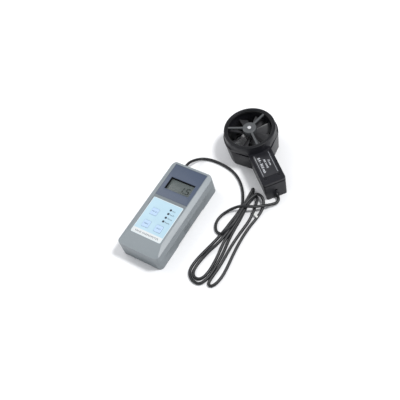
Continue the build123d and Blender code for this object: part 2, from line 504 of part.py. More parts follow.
# ---------------------------------------------------------------- cable
def cable(name, start, route):
    """tube of straight runs joined by tangent arcs, as large as the runs allow"""
    points = [Vector(*p) for p in [start] + route]
    runs = [b - a for a, b in zip(points, points[1:])]
    radii = []
    for before, after in zip(runs, runs[1:]):
        half_turn = math.radians(before.get_angle(after)) / 2
        radii.append(ARC_SHARE * min(before.length, after.length) / math.tan(half_turn))
    path = FilletPolyline(*points, radius=radii)
    section = Plane(origin=points[0], z_dir=runs[0]) * Circle(CABLE_R)
    tube = sweep(section, path=path)
    print(name, "length", round(path.length, 1), "volume ratio",
          round(tube.volume / (math.pi * CABLE_R ** 2 * path.length), 4),
          "radii", [round(r, 1) for r in radii])
    return tube


meter_end = (METER_X + METER_EXIT_X, METER_Y + CASE_L / 2 + 0.05 + GROMMET_OUT, SEAM_Z)
turn = math.radians(PROBE_TURN)
probe_reach = HANDLE_END_X + 0.05 + GROMMET_OUT
probe_end = (PROBE_X + probe_reach * math.cos(turn), PROBE_Y + probe_reach * math.sin(turn), PROBE_EXIT_Z)
parts["cable_meter_run"] = cable("cable_meter_run", meter_end, METER_ROUTE)
parts["cable_probe_run"] = cable("cable_probe_run", probe_end, PROBE_ROUTE)


def outline_face(points, radius):
    outline = Polygon(*points, align=None)
    return fillet(outline.vertices(), radius)


hank = extrude(outline_face(HANK_OUTLINE, HANK_R), HANK_H)
hank += extrude(outline_face(HANK_RIDGE, HANK_RIDGE_R), HANK_RIDGE_H)
parts["cable_hank"] = hank
tie_x, tie_y = TIE_AT
tie = block(0, 0, HANK_H, *TIE_SIZE)
parts["hank_tie"] = Pos(tie_x, tie_y, 0) * Rot(0, 0, TIE_TURN) * tie

# ---------------------------------------------------------------- export
os.makedirs("parts", exist_ok=True)
for name, shape in parts.items():
    export_step(shape, f"parts/{name}.step")
print(len(parts), "nodes")
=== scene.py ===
"""Vane anemometer: a grey meter, a black vane probe and the long cable that joins them.

Shapes are modelled in millimetres in the meter's or the probe's own frame and then put in place.
The meter's frame has its display end towards +Y. The probe's has its handle along +X.
"""
import math

import bmesh
import bpy
from mathutils import Matrix, Vector


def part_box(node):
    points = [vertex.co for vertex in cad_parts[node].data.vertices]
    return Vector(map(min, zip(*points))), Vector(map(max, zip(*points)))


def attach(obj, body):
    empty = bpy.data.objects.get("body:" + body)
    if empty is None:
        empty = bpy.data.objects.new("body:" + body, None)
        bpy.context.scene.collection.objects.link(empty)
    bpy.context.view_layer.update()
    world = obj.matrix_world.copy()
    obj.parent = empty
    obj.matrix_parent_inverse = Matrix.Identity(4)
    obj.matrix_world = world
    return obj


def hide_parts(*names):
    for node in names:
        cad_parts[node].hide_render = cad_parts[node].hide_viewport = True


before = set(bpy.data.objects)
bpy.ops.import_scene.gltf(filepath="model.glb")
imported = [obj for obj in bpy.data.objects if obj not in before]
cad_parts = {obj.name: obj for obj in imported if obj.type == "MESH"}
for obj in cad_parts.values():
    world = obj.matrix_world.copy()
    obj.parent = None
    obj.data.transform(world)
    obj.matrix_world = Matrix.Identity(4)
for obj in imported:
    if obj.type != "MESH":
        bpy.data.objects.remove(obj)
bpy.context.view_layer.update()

MM = 0.001


# ---------------- where things are, from the frame
def middle(node):
    low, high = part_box(node)
    return (low + high) / 2


def half_size(node):
    low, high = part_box(node)
    return (high - low) / 2 / MM


def local_box(node):
    """lowest and highest corner of a node of the meter, in the meter's frame, in millimetres"""
    return [(corner - METER_AT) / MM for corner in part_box(node)]


METER_AT = middle("front_case") * Vector((1, 1, 0))
PROBE_AT = middle("vane_axle") * Vector((1, 1, 0))
HANDLE_WAY = (middle("probe_grommet") - PROBE_AT).to_2d()
PROBE_TURN = math.atan2(HANDLE_WAY.y, HANDLE_WAY.x)
TO_METER = Matrix.Translation(METER_AT) @ Matrix.Scale(MM, 4)
TO_PROBE = Matrix.Translation(PROBE_AT) @ Matrix.Rotation(PROBE_TURN, 4, "Z") @ Matrix.Scale(MM, 4)

HALF_W, HALF_L, _ = half_size("front_case")
CASE_LOW, CASE_HIGH = local_box("front_case")
SEAM_TOP, CROWN = CASE_LOW.z, CASE_HIGH.z
SEAM_FOOT = SEAM_TOP - 0.3
PANEL_LOW, PANEL_HIGH = local_box("display_panel")
PAD_LOW, PAD_HIGH = local_box("keypad_overlay")
GLASS_LOW, GLASS_HIGH = local_box("lcd_glass")
BOARD_LOW, BOARD_HIGH = local_box("main_board")
COVER_LOW, COVER_HIGH = local_box("battery_cover")
BATTERY_LOW, BATTERY_HIGH = local_box("battery")
KEY_NODES = ("hold_key", "max_min_key", "unit_key")

# Case, millimetres
CORNER_R = 6.0
FACE_HALF = 27.0            # half width of the flat face between the shoulders
SHOULDER_DROP = 3.0
SLOPE_LENGTH, SLOPE_DROP = 21.0, 3.0
WALL = 2.2
ARCH_H, ARCH_FAR, ARCH_NEAR = 2.5, 36.0, -31.0
WINDOW_HALF_W, WINDOW_HALF_L, WINDOW_Y = 19.5, 9.75, 37.2
CASE_SCREWS = [(-27.0, 61.0), (27.0, 61.0), (-27.0, -25.0), (27.0, -25.0)]
BOARD_SCREWS = [(-22.0, -30.5), (22.0, -30.5)]
BOSS_R, SCREW_R, SCREW_HEAD_R = 3.4, 1.5, 2.9
GROMMET_X, GROMMET_HOLE_R = -20.0, 3.0
RIB_Y, RIB_PITCH, RIBS = -11.0, 2.4, 6
RIB_DEPTH, RIB_WIDTH, RIB_FOOT, RIB_HEIGHT = 0.9, 1.2, 5, 9.5
BAY_HALF_W, BAY_GAP, BAY_DEPTH = 24.85, 0.6, 8
BAY_WALL_T, BAY_WALL_H = 1.6, 11
CROWN_ROUND, FOOT_ROUND = 0.9, 1.0
BOSS_FOOT = ARCH_H + 0.6
SCREW_BITE, HEAD_SEAT = 5.5, ARCH_H + 2.8
BOARD_BOSS_R, PILOT_DEPTH = BOSS_R - 0.6, 6
POCKET_GAP, KEY_GAP, STEM_HOLE_R = 0.15, 0.25, 2.3
COVER_TONGUE, SLIDE_GAP = 1.0, 0.2
GRIPS, GRIP_PITCH, GRIP_HALF, GRIP_R = 5, 2.4, 8, 0.9
ARROW_AT, ARROW_R = 6.5, 3.2
KEY_CAP_T, KEY_BORDER, KEY_DROP, KEY_STEM_R = 0.8, 0.9, 0.3, 2.0
STRIP_TOP = -41.5           # top of the keypad's white title strip
LCD_SHADE_BORDER = 1.0              # black border round the liquid crystal, painted shade under the window's walls

# Probe, millimetres
PART_Z, RIM_Z = (corner.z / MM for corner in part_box("probe_front_shell"))
COLLAR_Z, HANDLE_TOP = 40.0, 35.0
RIM_R, LEDGE_R, REAR_TOP_R, REAR_FOOT_R, BORE_R = 36.0, 38.3, 38.0, 35.4, 32.0
GROOVE_H, GROOVE_D = 1.6, 1.4
HEAD_SIDES = 128            # corners of every large round of the head, so that they meet
SHOULDER_ANGLE = math.radians(68.5)
FLAT_END_X, HANDLE_X, HANDLE_HALF, HANDLE_FOOT_HALF = 33.0, 91.0, 16.0, 14.6
PROBE_SCREWS = [(82.4, -9.4), (82.4, 9.4), (41.5, -11.6), (41.5, 11.6)]
HEAD_WELL, PROBE_PILOT = 2.2, 12
HOLLOW_START, HOLLOW_END = RIM_R + 1, HANDLE_X - 2
HOLLOW_X, HOLLOW_L = (HOLLOW_START + HOLLOW_END) / 2, HOLLOW_END - HOLLOW_START
LABEL_X, LABEL_L, LABEL_W, LABEL_T, LABEL_SINK = 58.8, 41.0, 23.6, 0.8, 0.3
PROBE_EXIT_Z = 5.0
SOCKET_Z, SOCKET_DEPTH, SOCKET_W, SOCKET_H = 14.5, 3, 4, 3
ARMS, ARM_W, ARM_H, ARM_RIM_Z = 3, 3.0, 3.2, 45.8
HUB_R, HUB_Z, HUB_TOP = 9.6, 41.5, 48.0
REAR_HUB_R, REAR_HUB_Z, REAR_HUB_TOP = 7.0, 4.5, 11.0
PIVOT_R, JEWEL_R, JEWEL_T, AXLE_R = 2.6, 1.92, 1.6, 1.0
RING_T = 1.2
VANE_Z, VANE_HUB_R, VANE_HUB_H = 31.0, 7.5, 11.0
BLADES, BLADE_R, BLADE_CHORD, BLADE_T = 8, 30.3, 14.5, 0.9
BLADE_ROOT_PITCH, BLADE_TIP_PITCH = math.radians(50), math.radians(36)


# ---------------- modelling
def deselect():
    if bpy.context.mode != "OBJECT":
        bpy.ops.object.mode_set(mode="OBJECT")
    bpy.ops.object.select_all(action="DESELECT")


def activate(piece):
    deselect()
    piece.select_set(True)
    bpy.context.view_layer.objects.active = piece


def block(x, y, z, width, length, height):
    """box centred on x and y, standing on z"""
    deselect()
    bpy.ops.mesh.primitive_cube_add(size=1, location=(x, y, z + height / 2), scale=(width, length, height))
    bpy.ops.object.transform_apply()
    return bpy.context.object


def post(x, y, z, top, radius, top_radius=None, sides=48):
    """round bar or cone from z to top"""
    deselect()
    end = radius if top_radius is None else top_radius
    bpy.ops.mesh.primitive_cone_add(vertices=sides, radius1=radius, radius2=end, depth=top - z,
                                    location=(x, y, (z + top) / 2))
    bpy.ops.object.transform_apply()
    return bpy.context.object


def bar(start, end, radius, sides=32):
    """round bar between two points"""
    start, end = Vector(start), Vector(end)
    deselect()
    turn = (end - start).to_track_quat("Z", "Y").to_euler()
    bpy.ops.mesh.primitive_cylinder_add(vertices=sides, radius=radius, depth=(end - start).length,
                                        location=(start + end) / 2, rotation=turn)
    bpy.ops.object.transform_apply()
    return bpy.context.object


def choose(piece, kind, wanted):
    """edit mode, with only the wanted corners, edges or faces selected"""
    activate(piece)
    bpy.ops.object.mode_set(mode="EDIT")
    bpy.ops.mesh.select_mode(type=kind)
    bpy.ops.mesh.select_all(action="DESELECT")
    shape = bmesh.from_edit_mesh(piece.data)
    items = {"VERT": shape.verts, "EDGE": shape.edges, "FACE": shape.faces}[kind]
    for item in items:
        if wanted(item):
            item.select_set(True)
    shape.select_flush_mode()
    bmesh.update_edit_mesh(piece.data)


def centre(item):
    return sum((corner.co for corner in item.verts), Vector()) / len(item.verts)


def upright(edge):
    rise = edge.verts[1].co - edge.verts[0].co
    return abs(rise.z) > 0.95 * rise.length


def done():
    bpy.ops.object.mode_set(mode="OBJECT")


def round_edges(piece, wanted, radius, steps):
    choose(piece, "EDGE", wanted)
    bpy.ops.mesh.bevel(offset=radius, segments=steps, affect="EDGES", clamp_overlap=True)
    done()


def sharp(edge, degrees=18):
    return edge.is_manifold and edge.calc_face_angle() > math.radians(degrees)


def round_rim(piece, z, radius, steps, degrees=60):
    """round the sharp edges that lie at one height"""
    round_edges(piece, lambda edge: abs(centre(edge).z - z) < 0.01 and sharp(edge, degrees), radius, steps)


def reshape(piece, wanted, how, **amount):
    """move, turn or stretch the wanted corners"""
    choose(piece, "VERT", wanted)
    how(**amount)
    done()


def all_parts(item):
    return True


def cut_off(piece, point, outward):
    """take away all that lies beyond a plane"""
    choose(piece, "FACE", all_parts)
    normal = Vector(outward).normalized()
    bpy.ops.mesh.bisect(plane_co=point, plane_no=normal, use_fill=True, clear_outer=True)
    done()


def combine(piece, tool, how):
    """join, cut or keep what the tool covers"""
    step = piece.modifiers.new("combine", "BOOLEAN")
    step.operation, step.object, step.solver = how, tool, "EXACT"
    activate(piece)
    bpy.ops.object.modifier_apply(modifier=step.name)
    bpy.data.objects.remove(tool)


def cut(piece, *tools):
    for tool in tools:
        combine(piece, tool, "DIFFERENCE")


def add(piece, *tools):
    for tool in tools:
        combine(piece, tool, "UNION")


def soften(piece, width, steps=2, angle=35):
    """round every edge that is sharper than the angle"""
    step = piece.modifiers.new("soften", "BEVEL")
    step.width, step.segments, step.limit_method = width, steps, "ANGLE"
    step.angle_limit = math.radians(angle)
    step.use_clamp_overlap = True
    activate(piece)
    bpy.ops.object.modifier_apply(modifier=step.name)


def copy_of(piece, turn):
    """a copy with its own mesh, turned"""
    twin = piece.copy()
    twin.data = piece.data.copy()
    bpy.context.collection.objects.link(twin)
    activate(twin)
    twin.matrix_world = turn @ twin.matrix_world
    bpy.ops.object.transform_apply()
    return twin


def joined(pieces):
    deselect()
    for piece in pieces:
        piece.select_set(True)
    bpy.context.view_layer.objects.active = pieces[0]
    bpy.ops.object.join()
    return bpy.context.object


def settle(piece, name, place, body, slot, finish, *stands_for, smooth=38):
    """put a modelled piece in its place, with its finish, on its body"""
    piece.name = piece.data.name = name
    activate(piece)
    piece.matrix_world = place @ piece.matrix_world
    bpy.ops.object.transform_apply()
    bpy.ops.object.shade_smooth_by_angle(angle=math.radians(smooth))
    piece.data.materials.clear()
    piece.data.materials.append(finish)
    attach(piece, body)
    if stands_for:
        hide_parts(*stands_for)
    return piece


# ---------------- shader sums
def math_node(operation, swapped=False):
    """a method of Wire that adds one Math node; swapped puts the wire itself last"""
    def method(self, *others):
        values = (*others, self) if swapped else (self, *others)
        return Wire.node(self.socket.id_data, "ShaderNodeMath", {"operation": operation},
                         dict(enumerate(values)))
    return method


class Wire:
    """An output socket of a shader node. Sums of wires and numbers add Math nodes."""
    __add__ = __radd__ = math_node("ADD")
    __sub__, __rsub__ = math_node("SUBTRACT"), math_node("SUBTRACT", swapped=True)
    __mul__ = __rmul__ = math_node("MULTIPLY")
    __truediv__ = math_node("DIVIDE")
    __gt__, __lt__ = math_node("GREATER_THAN"), math_node("LESS_THAN")
    __abs__ = math_node("ABSOLUTE")
    larger, smaller = math_node("MAXIMUM"), math_node("MINIMUM")

    def __init__(self, socket):
        self.socket = socket

    @classmethod
    def node(cls, tree, kind, settings=None, inputs=None, output=0):
        """any shader node: its settings first, then the values or wires of its sockets"""
        made = tree.nodes.new(kind)
        for name, value in (settings or {}).items():
            setattr(made, name, value)
        for name, value in (inputs or {}).items():
            plug(tree, value, made.inputs[name])
        return cls(made.outputs[output])


def plug(tree, value, socket):
    """lead a wire to a socket, or write a plain value into it"""
    if isinstance(value, Wire):
        tree.links.new(value.socket, socket)
    else:
        socket.default_value = value


def srgb(red, green, blue):
    """a colour as seen, 0 to 255, in the renderer's linear numbers"""
    def linear(value):
        value /= 255
        return value / 12.92 if value <= 0.04045 else ((value + 0.055) / 1.055) ** 2.4
    return (linear(red), linear(green), linear(blue), 1.0)


def scaled(colour, share):
    """the same colour, darker or lighter"""
    return tuple(share * part for part in colour[:3]) + (1.0,)


class Finish:
    """A material in the making, with a point in millimetres in the meter's or the probe's frame."""

    def __init__(self, name, place):
        self.material = bpy.data.materials.new(name)
        self.material.use_nodes = True
        self.tree = self.material.node_tree
        self.principled = self.tree.nodes["Principled BSDF"]
        position, turn, _ = place.decompose()
        where = self.node("ShaderNodeTexCoord", output=3)
        self.point = self.node("ShaderNodeMapping", {"vector_type": "TEXTURE"},
                               {"Vector": where, "Location": position, "Rotation": turn.to_euler(),
                                "Scale": (MM, MM, MM)})
        self.x, self.y, self.z = (self.node("ShaderNodeSeparateXYZ", {}, {"Vector": self.point}, output=i)
                                  for i in range(3))

    def node(self, kind, settings=None, inputs=None, output=0):
        return Wire.node(self.tree, kind, settings, inputs, output)

    def noise(self, scale, detail=3.0, stretch=(1.0, 1.0, 1.0)):
        """cloudy pattern, 0 to 1, with features about 1/scale millimetres wide"""
        spread = self.node("ShaderNodeMapping", {}, {"Vector": self.point, "Scale": stretch})
        return self.node("ShaderNodeTexNoise", {}, {"Vector": spread, "Scale": scale, "Detail": detail})

    def blend(self, share, first, second):
        """colour mix; share 1 gives the second"""
        return self.node("ShaderNodeMix", {"data_type": "RGBA"}, {0: share, 6: first, 7: second}, output=2)

    def band(self, value, low, high):
        """1 between two values, else 0"""
        return (value > low) * (value < high)

    def bump(self, height, strength, distance=0.0001):
        return self.node("ShaderNodeBump", {},
                         {"Height": height, "Strength": strength, "Distance": distance})

    def edge_highlight(self, amount):
        """painted highlight: lighter edges, found from how far the surface turns there"""
        sharp = self.node("ShaderNodeNewGeometry", output=7)
        return ((sharp - 0.52) * 14.0).larger(0.0).smaller(1.0) * amount

    def set(self, **values):
        """sockets of the surface shader, by name with _ for a space"""
        for name, value in values.items():
            plug(self.tree, value, self.principled.inputs[name.replace("_", " ")])
        return self.material


# ---------------- finishes
def textured_plastic(name, place, colour, pale, grain, roughness, shine=0.5):
    """spark-textured moulding: fine pits, cloudy shade, painted highlight on the edges and small scuffs"""
    f = Finish(name, place)
    cloud = f.noise(0.05, 4.0)
    speckle = f.noise(2.2, 2.0)
    shade = f.blend(cloud * 0.5 + speckle * 0.22, colour, pale)
    scuffs = f.noise(0.8, 5.0, stretch=(0.15, 1.0, 1.0))
    # lighter colour on sharp edges is painted highlight; the lighter scuffs are wear
    edge_highlight_and_scuffs = (f.edge_highlight(0.6) + (scuffs > 0.68) * 0.15).smaller(1.0)
    pits = f.noise(grain, 2.0)
    return f.set(Base_Color=f.blend(edge_highlight_and_scuffs, shade, scaled(pale, 1.35)),
                 Roughness=roughness + (cloud - 0.5) * 0.12 - edge_highlight_and_scuffs * 0.15,
                 Normal=f.bump(pits, 0.35), Specular_IOR_Level=shine)


def smooth_plastic(name, place, colour, pale, roughness, overprint=None):
    """plain moulding with flow marks; overprint may change its colour from place to place"""
    f = Finish(name, place)
    flow = f.noise(0.12, 3.0, stretch=(1.0, 0.3, 1.0))
    speckle = f.noise(3.0, 1.0)
    shade = f.blend(flow * 0.7 + speckle * 0.2, colour, pale)
    if overprint:
        shade = overprint(f, shade)
    return f.set(Base_Color=shade, Roughness=roughness + (flow - 0.5) * 0.15,
                 Normal=f.bump(speckle, 0.12))


def metal(name, place, colour, roughness):
    """turned or pressed metal with fine brush lines"""
    f = Finish(name, place)
    lines = f.noise(1.5, 4.0, stretch=(1.0, 1.0, 12.0))
    dulling = f.noise(0.4, 3.0)
    return f.set(Base_Color=f.blend(dulling * 0.5, colour, scaled(colour, 0.6)),
                 Metallic=1.0, Roughness=roughness + lines * 0.18, Normal=f.bump(lines, 0.15))


# both textured plastics carry a painted highlight on their edges
CASE_GREY = textured_plastic("case_plastic", TO_METER, srgb(108, 115, 119), srgb(124, 131, 135), 3.2, 0.5)
PROBE_BLACK = textured_plastic("probe_plastic", TO_PROBE, srgb(14, 15, 18), srgb(26, 26, 31), 3.6, 0.42, 0.26)
VANE_GREY = smooth_plastic("vane_plastic", TO_PROBE, srgb(52, 52, 54), srgb(70, 70, 72), 0.36)
INNER_PLASTIC = smooth_plastic("inner_plastic", TO_METER, srgb(205, 203, 192), srgb(222, 220, 212), 0.45)
# near black for the window's inner walls: painted shade
WINDOW_SHADE_BLACK = smooth_plastic("window_wall_painted_shade", TO_METER, srgb(9, 9, 11), srgb(18, 18, 20), 0.5)
PRINT_DARK = smooth_plastic("dark_print", TO_METER, srgb(28, 34, 48), srgb(44, 52, 66), 0.55)
PRINT_BLUE = smooth_plastic("blue_print", TO_METER, srgb(32, 70, 104), srgb(50, 92, 126), 0.5)
PRINT_WHITE = smooth_plastic("white_print", TO_PROBE, srgb(196, 198, 204), srgb(214, 216, 220), 0.5)
LCD_SEGMENT = smooth_plastic("lcd_segment", TO_METER, srgb(8, 16, 14), srgb(16, 26, 22), 0.3)
STEEL = metal("bright_steel", TO_PROBE, srgb(206, 206, 210), 0.22)
PIVOT_STEEL = metal("polished_pivot", TO_PROBE, srgb(248, 248, 250), 0.34)
# dark steel for the probe's screws: painted shade down in their screw wells
SCREW_WELL_SHADE_STEEL = metal("screw_steel_painted_shade", TO_PROBE, srgb(62, 62, 66), 0.35)
MAGNET_METAL = metal("plated_magnet", TO_PROBE, srgb(150, 150, 154), 0.3)


def ring_painted_shade(f, grey):
    """the bridge's outer ring, down in the bore, is painted near black as painted shade"""
    ring = f.x * f.x + f.y * f.y > (BORE_R - RING_T - 0.5) ** 2
    return f.blend(ring, grey, srgb(18, 19, 21))


def display_finish():
    """printed panel: deep blue-grey film, a shade lighter towards the keypad"""
    f = Finish("display_film", TO_METER)
    along = (f.y - PANEL_LOW.y) / (PANEL_HIGH.y - PANEL_LOW.y)
    cloud = f.noise(0.08, 4.0)
    film = f.blend((along * 0.6 + cloud * 0.4).smaller(1.0), srgb(76, 87, 105), srgb(62, 74, 96))
    dust = f.noise(1.4, 6.0) > 0.66
    return f.set(Base_Color=f.blend(dust * 0.25, film, srgb(128, 136, 152)),
                 Roughness=0.36 + cloud * 0.12, Coat_Weight=0.25, Coat_Roughness=0.2,
                 Normal=f.bump(f.noise(2.5, 1.0), 0.1))


def keypad_finish():
    """printed membrane: pale blue, darker towards the right side as painted shade, with a white title strip
    and a pale line round the edge
    """
    f = Finish("keypad_film", TO_METER)
    reach_x = PAD_HIGH.x - abs(f.x)
    middle_y, half_l = (PAD_LOW.y + PAD_HIGH.y) / 2, (PAD_HIGH.y - PAD_LOW.y) / 2
    reach_y = half_l - abs(f.y - middle_y)
    edge = reach_x.smaller(reach_y)
    cloud = f.noise(0.07, 3.0)
    # the pale blue darkens towards the right side: painted shade
    tint = f.blend((cloud * 0.6 + (f.x / PAD_HIGH.x) * 0.25).smaller(1.0).larger(0.0),
                   srgb(182, 209, 222), srgb(166, 198, 214))
    tint = f.blend(f.band(f.y, PAD_LOW.y, STRIP_TOP), tint, srgb(214, 218, 219))
    tint = f.blend(edge < 0.8, tint, srgb(214, 226, 230))
    return f.set(Base_Color=tint, Roughness=0.42 + cloud * 0.1, Normal=f.bump(f.noise(1.8, 2.0), 0.12))


def key_finish():
    """printed key tops: slightly lilac, worn paler in patches"""
    f = Finish("key_film", TO_METER)
    touched = f.noise(0.25, 4.0)
    return f.set(Base_Color=f.blend(touched, srgb(170, 196, 226), srgb(190, 212, 236)),
                 Roughness=0.36 + touched * 0.12, Normal=f.bump(f.noise(1.8, 2.0), 0.12))


def lcd_finish():
    """reflective liquid crystal: grey-green, uneven, with the rows of the rear polariser and a black border
    of painted shade under the window's walls
    """
    f = Finish("lcd_film", TO_METER)
    rows = f.node("ShaderNodeTexWave", {"bands_direction": "Y"},
                  {"Vector": f.point, "Scale": 1.6, "Distortion": 0.4})
    cloud = f.noise(0.09, 3.0)
    film = f.blend(cloud * 0.8 + rows * 0.12, srgb(84, 92, 91), srgb(100, 108, 107))
    # the black border is painted shade that the window's walls cast on the liquid crystal
    seen_x, seen_y = WINDOW_HALF_W - LCD_SHADE_BORDER, WINDOW_HALF_L - LCD_SHADE_BORDER
    mask = (abs(f.x) > seen_x).larger(abs(f.y - WINDOW_Y) > seen_y)
    film = f.blend(mask, film, srgb(10, 10, 12))
    return f.set(Base_Color=film, Roughness=0.3 + cloud * 0.08, Coat_Weight=0.15)


def lens_finish():
    """clear acrylic with a trace of dust"""
    f = Finish("clear_lens", TO_METER)
    dust = f.noise(1.2, 6.0)
    return f.set(Base_Color=srgb(40, 42, 44), Roughness=0.05 + dust * 0.06,
                 Alpha=(dust > 0.62) * 0.04 + 0.05)


def board_finish():
    """solder mask with tracks and pads"""
    f = Finish("solder_mask", TO_METER)
    tracks = f.node("ShaderNodeTexWave", {}, {"Vector": f.point, "Scale": 0.35, "Distortion": 6.0,
                                              "Detail": 1.0, "Detail Scale": 0.3})
    pads = f.node("ShaderNodeTexVoronoi", {}, {"Vector": f.point, "Scale": 0.28})
    laid = f.blend((tracks > 0.72) * 0.6, srgb(16, 84, 48), srgb(34, 122, 74))
    return f.set(Base_Color=f.blend(pads < 0.14, laid, srgb(196, 190, 164)), Roughness=0.36,
                 Metallic=(pads < 0.14) * 0.7, Normal=f.bump(tracks, 0.2))


def battery_finish():
    """dark steel jacket with a pale band near the terminals"""
    f = Finish("battery_jacket", TO_METER)
    band = f.x > BATTERY_HIGH.x - 14.0
    cloud = f.noise(0.3, 3.0)
    jacket = f.blend(band, srgb(52, 60, 74), srgb(176, 178, 182))
    return f.set(Base_Color=jacket, Roughness=0.28 + cloud * 0.12, Metallic=0.4, Normal=f.bump(cloud, 0.08))


def label_finish():
    """black printed plate with a thin line along each side"""
    f = Finish("label_plate", TO_PROBE)
    side = abs(f.y)
    cloud = f.noise(0.15, 4.0)
    plate = f.blend(cloud, srgb(22, 22, 26), srgb(36, 36, 42))
    line = f.band(side, 10.0, 10.5) * f.band(f.x, 40.5, 77.0)
    return f.set(Base_Color=f.blend(line * 0.85, plate, srgb(176, 178, 184)),
                 Roughness=0.28 + cloud * 0.12, Coat_Weight=0.2)


def jewel_finish():
    """polished ruby bearing"""
    f = Finish("ruby_jewel", TO_PROBE)
    cloud = f.noise(0.8, 2.0)
    return f.set(Base_Color=f.blend(cloud, srgb(150, 18, 40), srgb(190, 40, 62)),
                 Roughness=0.08 + cloud * 0.04, Coat_Weight=0.5)


def sheath_finish():
    """smooth cable sheath: faint die lines, dust, and soft shine"""
    f = Finish("cable_sheath", Matrix.Scale(MM, 4))
    dust = f.noise(0.22, 5.0)
    fine = f.noise(1.6, 3.0)
    return f.set(Base_Color=f.blend(dust * 0.7 + (fine > 0.64) * 0.25, srgb(12, 13, 15), srgb(34, 35, 38)),
                 Roughness=0.36 + dust * 0.16, Normal=f.bump(fine, 0.14))


def tie_finish():
    """paper-covered wire"""
    f = Finish("tie_paper", Matrix.Scale(MM, 4))
    fibre = f.noise(1.2, 5.0, stretch=(0.4, 1.0, 1.0))
    return f.set(Base_Color=f.blend(fibre, srgb(196, 197, 194), srgb(226, 227, 224)), Roughness=0.7,
                 Normal=f.bump(fibre, 0.4))


# the bridge's outer ring is painted near black as painted shade
BRIDGE_GREY = smooth_plastic("bridge_plastic", TO_PROBE, srgb(66, 68, 70), srgb(84, 86, 88), 0.42, ring_painted_shade)
DISPLAY_FILM = display_finish()
KEYPAD_FILM = keypad_finish()
KEY_FILM = key_finish()
LCD_FILM = lcd_finish()
CLEAR_LENS = lens_finish()
SOLDER_MASK = board_finish()
BATTERY_JACKET = battery_finish()
LABEL_PLATE = label_finish()
RUBY = jewel_finish()
SHEATH = sheath_finish()
TIE_PAPER = tie_finish()


# ---------------- cable
CABLE_R = 0.002
CABLE_EXIT = (-0.066, 0.01305, 0.017)
FROM_METER = [(-0.066, 0.022, 0.017), (-0.0655, 0.032, 0.0115), (-0.063, 0.041, 0.0055),
              (-0.0565, 0.0475, 0.0026), (-0.044, 0.05, 0.0022), (-0.028, 0.0495, 0.0022),
              (-0.012, 0.0465, 0.0022), (0.001, 0.041, 0.0022), (0.012, 0.033, 0.0022),
              (0.0215, 0.023, 0.0022), (0.028, 0.0125, 0.0022), (0.0336, 0.002, 0.0022)]
HANK = [
    # down the left side, round the wide near fold
    (0.0345, -0.0066, 0.0022), (0.0339, -0.0191, 0.0022), (0.0325, -0.0302, 0.0022),
    (0.0314, -0.0444, 0.0022), (0.0288, -0.0609, 0.0022), (0.0249, -0.0778, 0.0022),
    (0.0211, -0.0946, 0.0022), (0.0197, -0.11, 0.0022), (0.0228, -0.1198, 0.0022),
    (0.0318, -0.1266, 0.0022), (0.0428, -0.1268, 0.0022), (0.0475, -0.1179, 0.0022),
    (0.0492, -0.1076, 0.0022),
    # back up, over the narrow far fold
    (0.0488, -0.0905, 0.0022), (0.0482, -0.0775, 0.0022), (0.0463, -0.0649, 0.0022),
    (0.0442, -0.0521, 0.0022), (0.0429, -0.0373, 0.0022), (0.0424, -0.0204, 0.0022),
    (0.0407, -0.0038, 0.0022), (0.0386, 0.0111, 0.0022), (0.0376, 0.0214, 0.0028),
    (0.0363, 0.0285, 0.0033), (0.0358, 0.0285, 0.0073),
    # down on top of the first strands, round the inner near fold
    (0.0362, 0.0215, 0.0066), (0.0366, 0.0128, 0.0061), (0.0373, 0.0007, 0.006),
    (0.0379, -0.0113, 0.006), (0.0385, -0.0232, 0.006), (0.0387, -0.0368, 0.006),
    (0.0377, -0.0509, 0.006), (0.0354, -0.0653, 0.0055), (0.0303, -0.0782, 0.004),
    (0.0262, -0.0941, 0.0022), (0.025, -0.1085, 0.0022), (0.027, -0.117, 0.0022),
    (0.033, -0.1215, 0.0022), (0.0392, -0.1203, 0.0022), (0.0432, -0.1142, 0.0022),
    (0.0446, -0.1039, 0.0022),
    # up again to the inner far fold
    (0.0444, -0.0941, 0.0022), (0.0434, -0.0805, 0.0024), (0.0415, -0.0685, 0.003),
    (0.0407, -0.0566, 0.0045), (0.0416, -0.0421, 0.0061), (0.0421, -0.0267, 0.0061),
    (0.0416, -0.0096, 0.0061), (0.0414, 0.0043, 0.006), (0.0424, 0.0136, 0.006),
    (0.0443, 0.0189, 0.006), (0.0487, 0.0187, 0.006),
    # down the middle, round the tight near fold
    (0.0511, 0.0102, 0.0058), (0.0531, 0.0007, 0.005), (0.0545, -0.0092, 0.0042),
    (0.0548, -0.0197, 0.0034), (0.0534, -0.0325, 0.0028), (0.0525, -0.045, 0.0024),
    (0.0521, -0.0575, 0.0022), (0.0526, -0.0702, 0.0022), (0.0533, -0.0827, 0.0022),
    (0.0535, -0.0956, 0.0022), (0.0528, -0.1072, 0.0022), (0.0523, -0.1168, 0.0022),
    (0.054, -0.1222, 0.0022), (0.0583, -0.1223, 0.0022),
    # up the right side, over the wide far fold
    (0.0623, -0.1164, 0.0022), (0.0642, -0.1045, 0.0022), (0.0635, -0.0905, 0.0022),
    (0.0612, -0.0737, 0.0022), (0.0593, -0.0549, 0.0022), (0.0589, -0.0351, 0.0022),
    (0.0598, -0.0209, 0.0022), (0.0617, -0.0076, 0.0024), (0.0625, 0.0052, 0.0034),
    (0.0604, 0.0148, 0.0056), (0.0545, 0.0213, 0.009), (0.0462, 0.0222, 0.0102),
    # down on the very top, and off to the probe's lead
    (0.0427, 0.0142, 0.0102), (0.0402, 0.0048, 0.01), (0.0396, -0.0071, 0.0098),
    (0.0403, -0.0209, 0.0098), (0.0404, -0.0323, 0.0096), (0.0374, -0.0425, 0.0084),
    (0.0331, -0.0492, 0.006)]
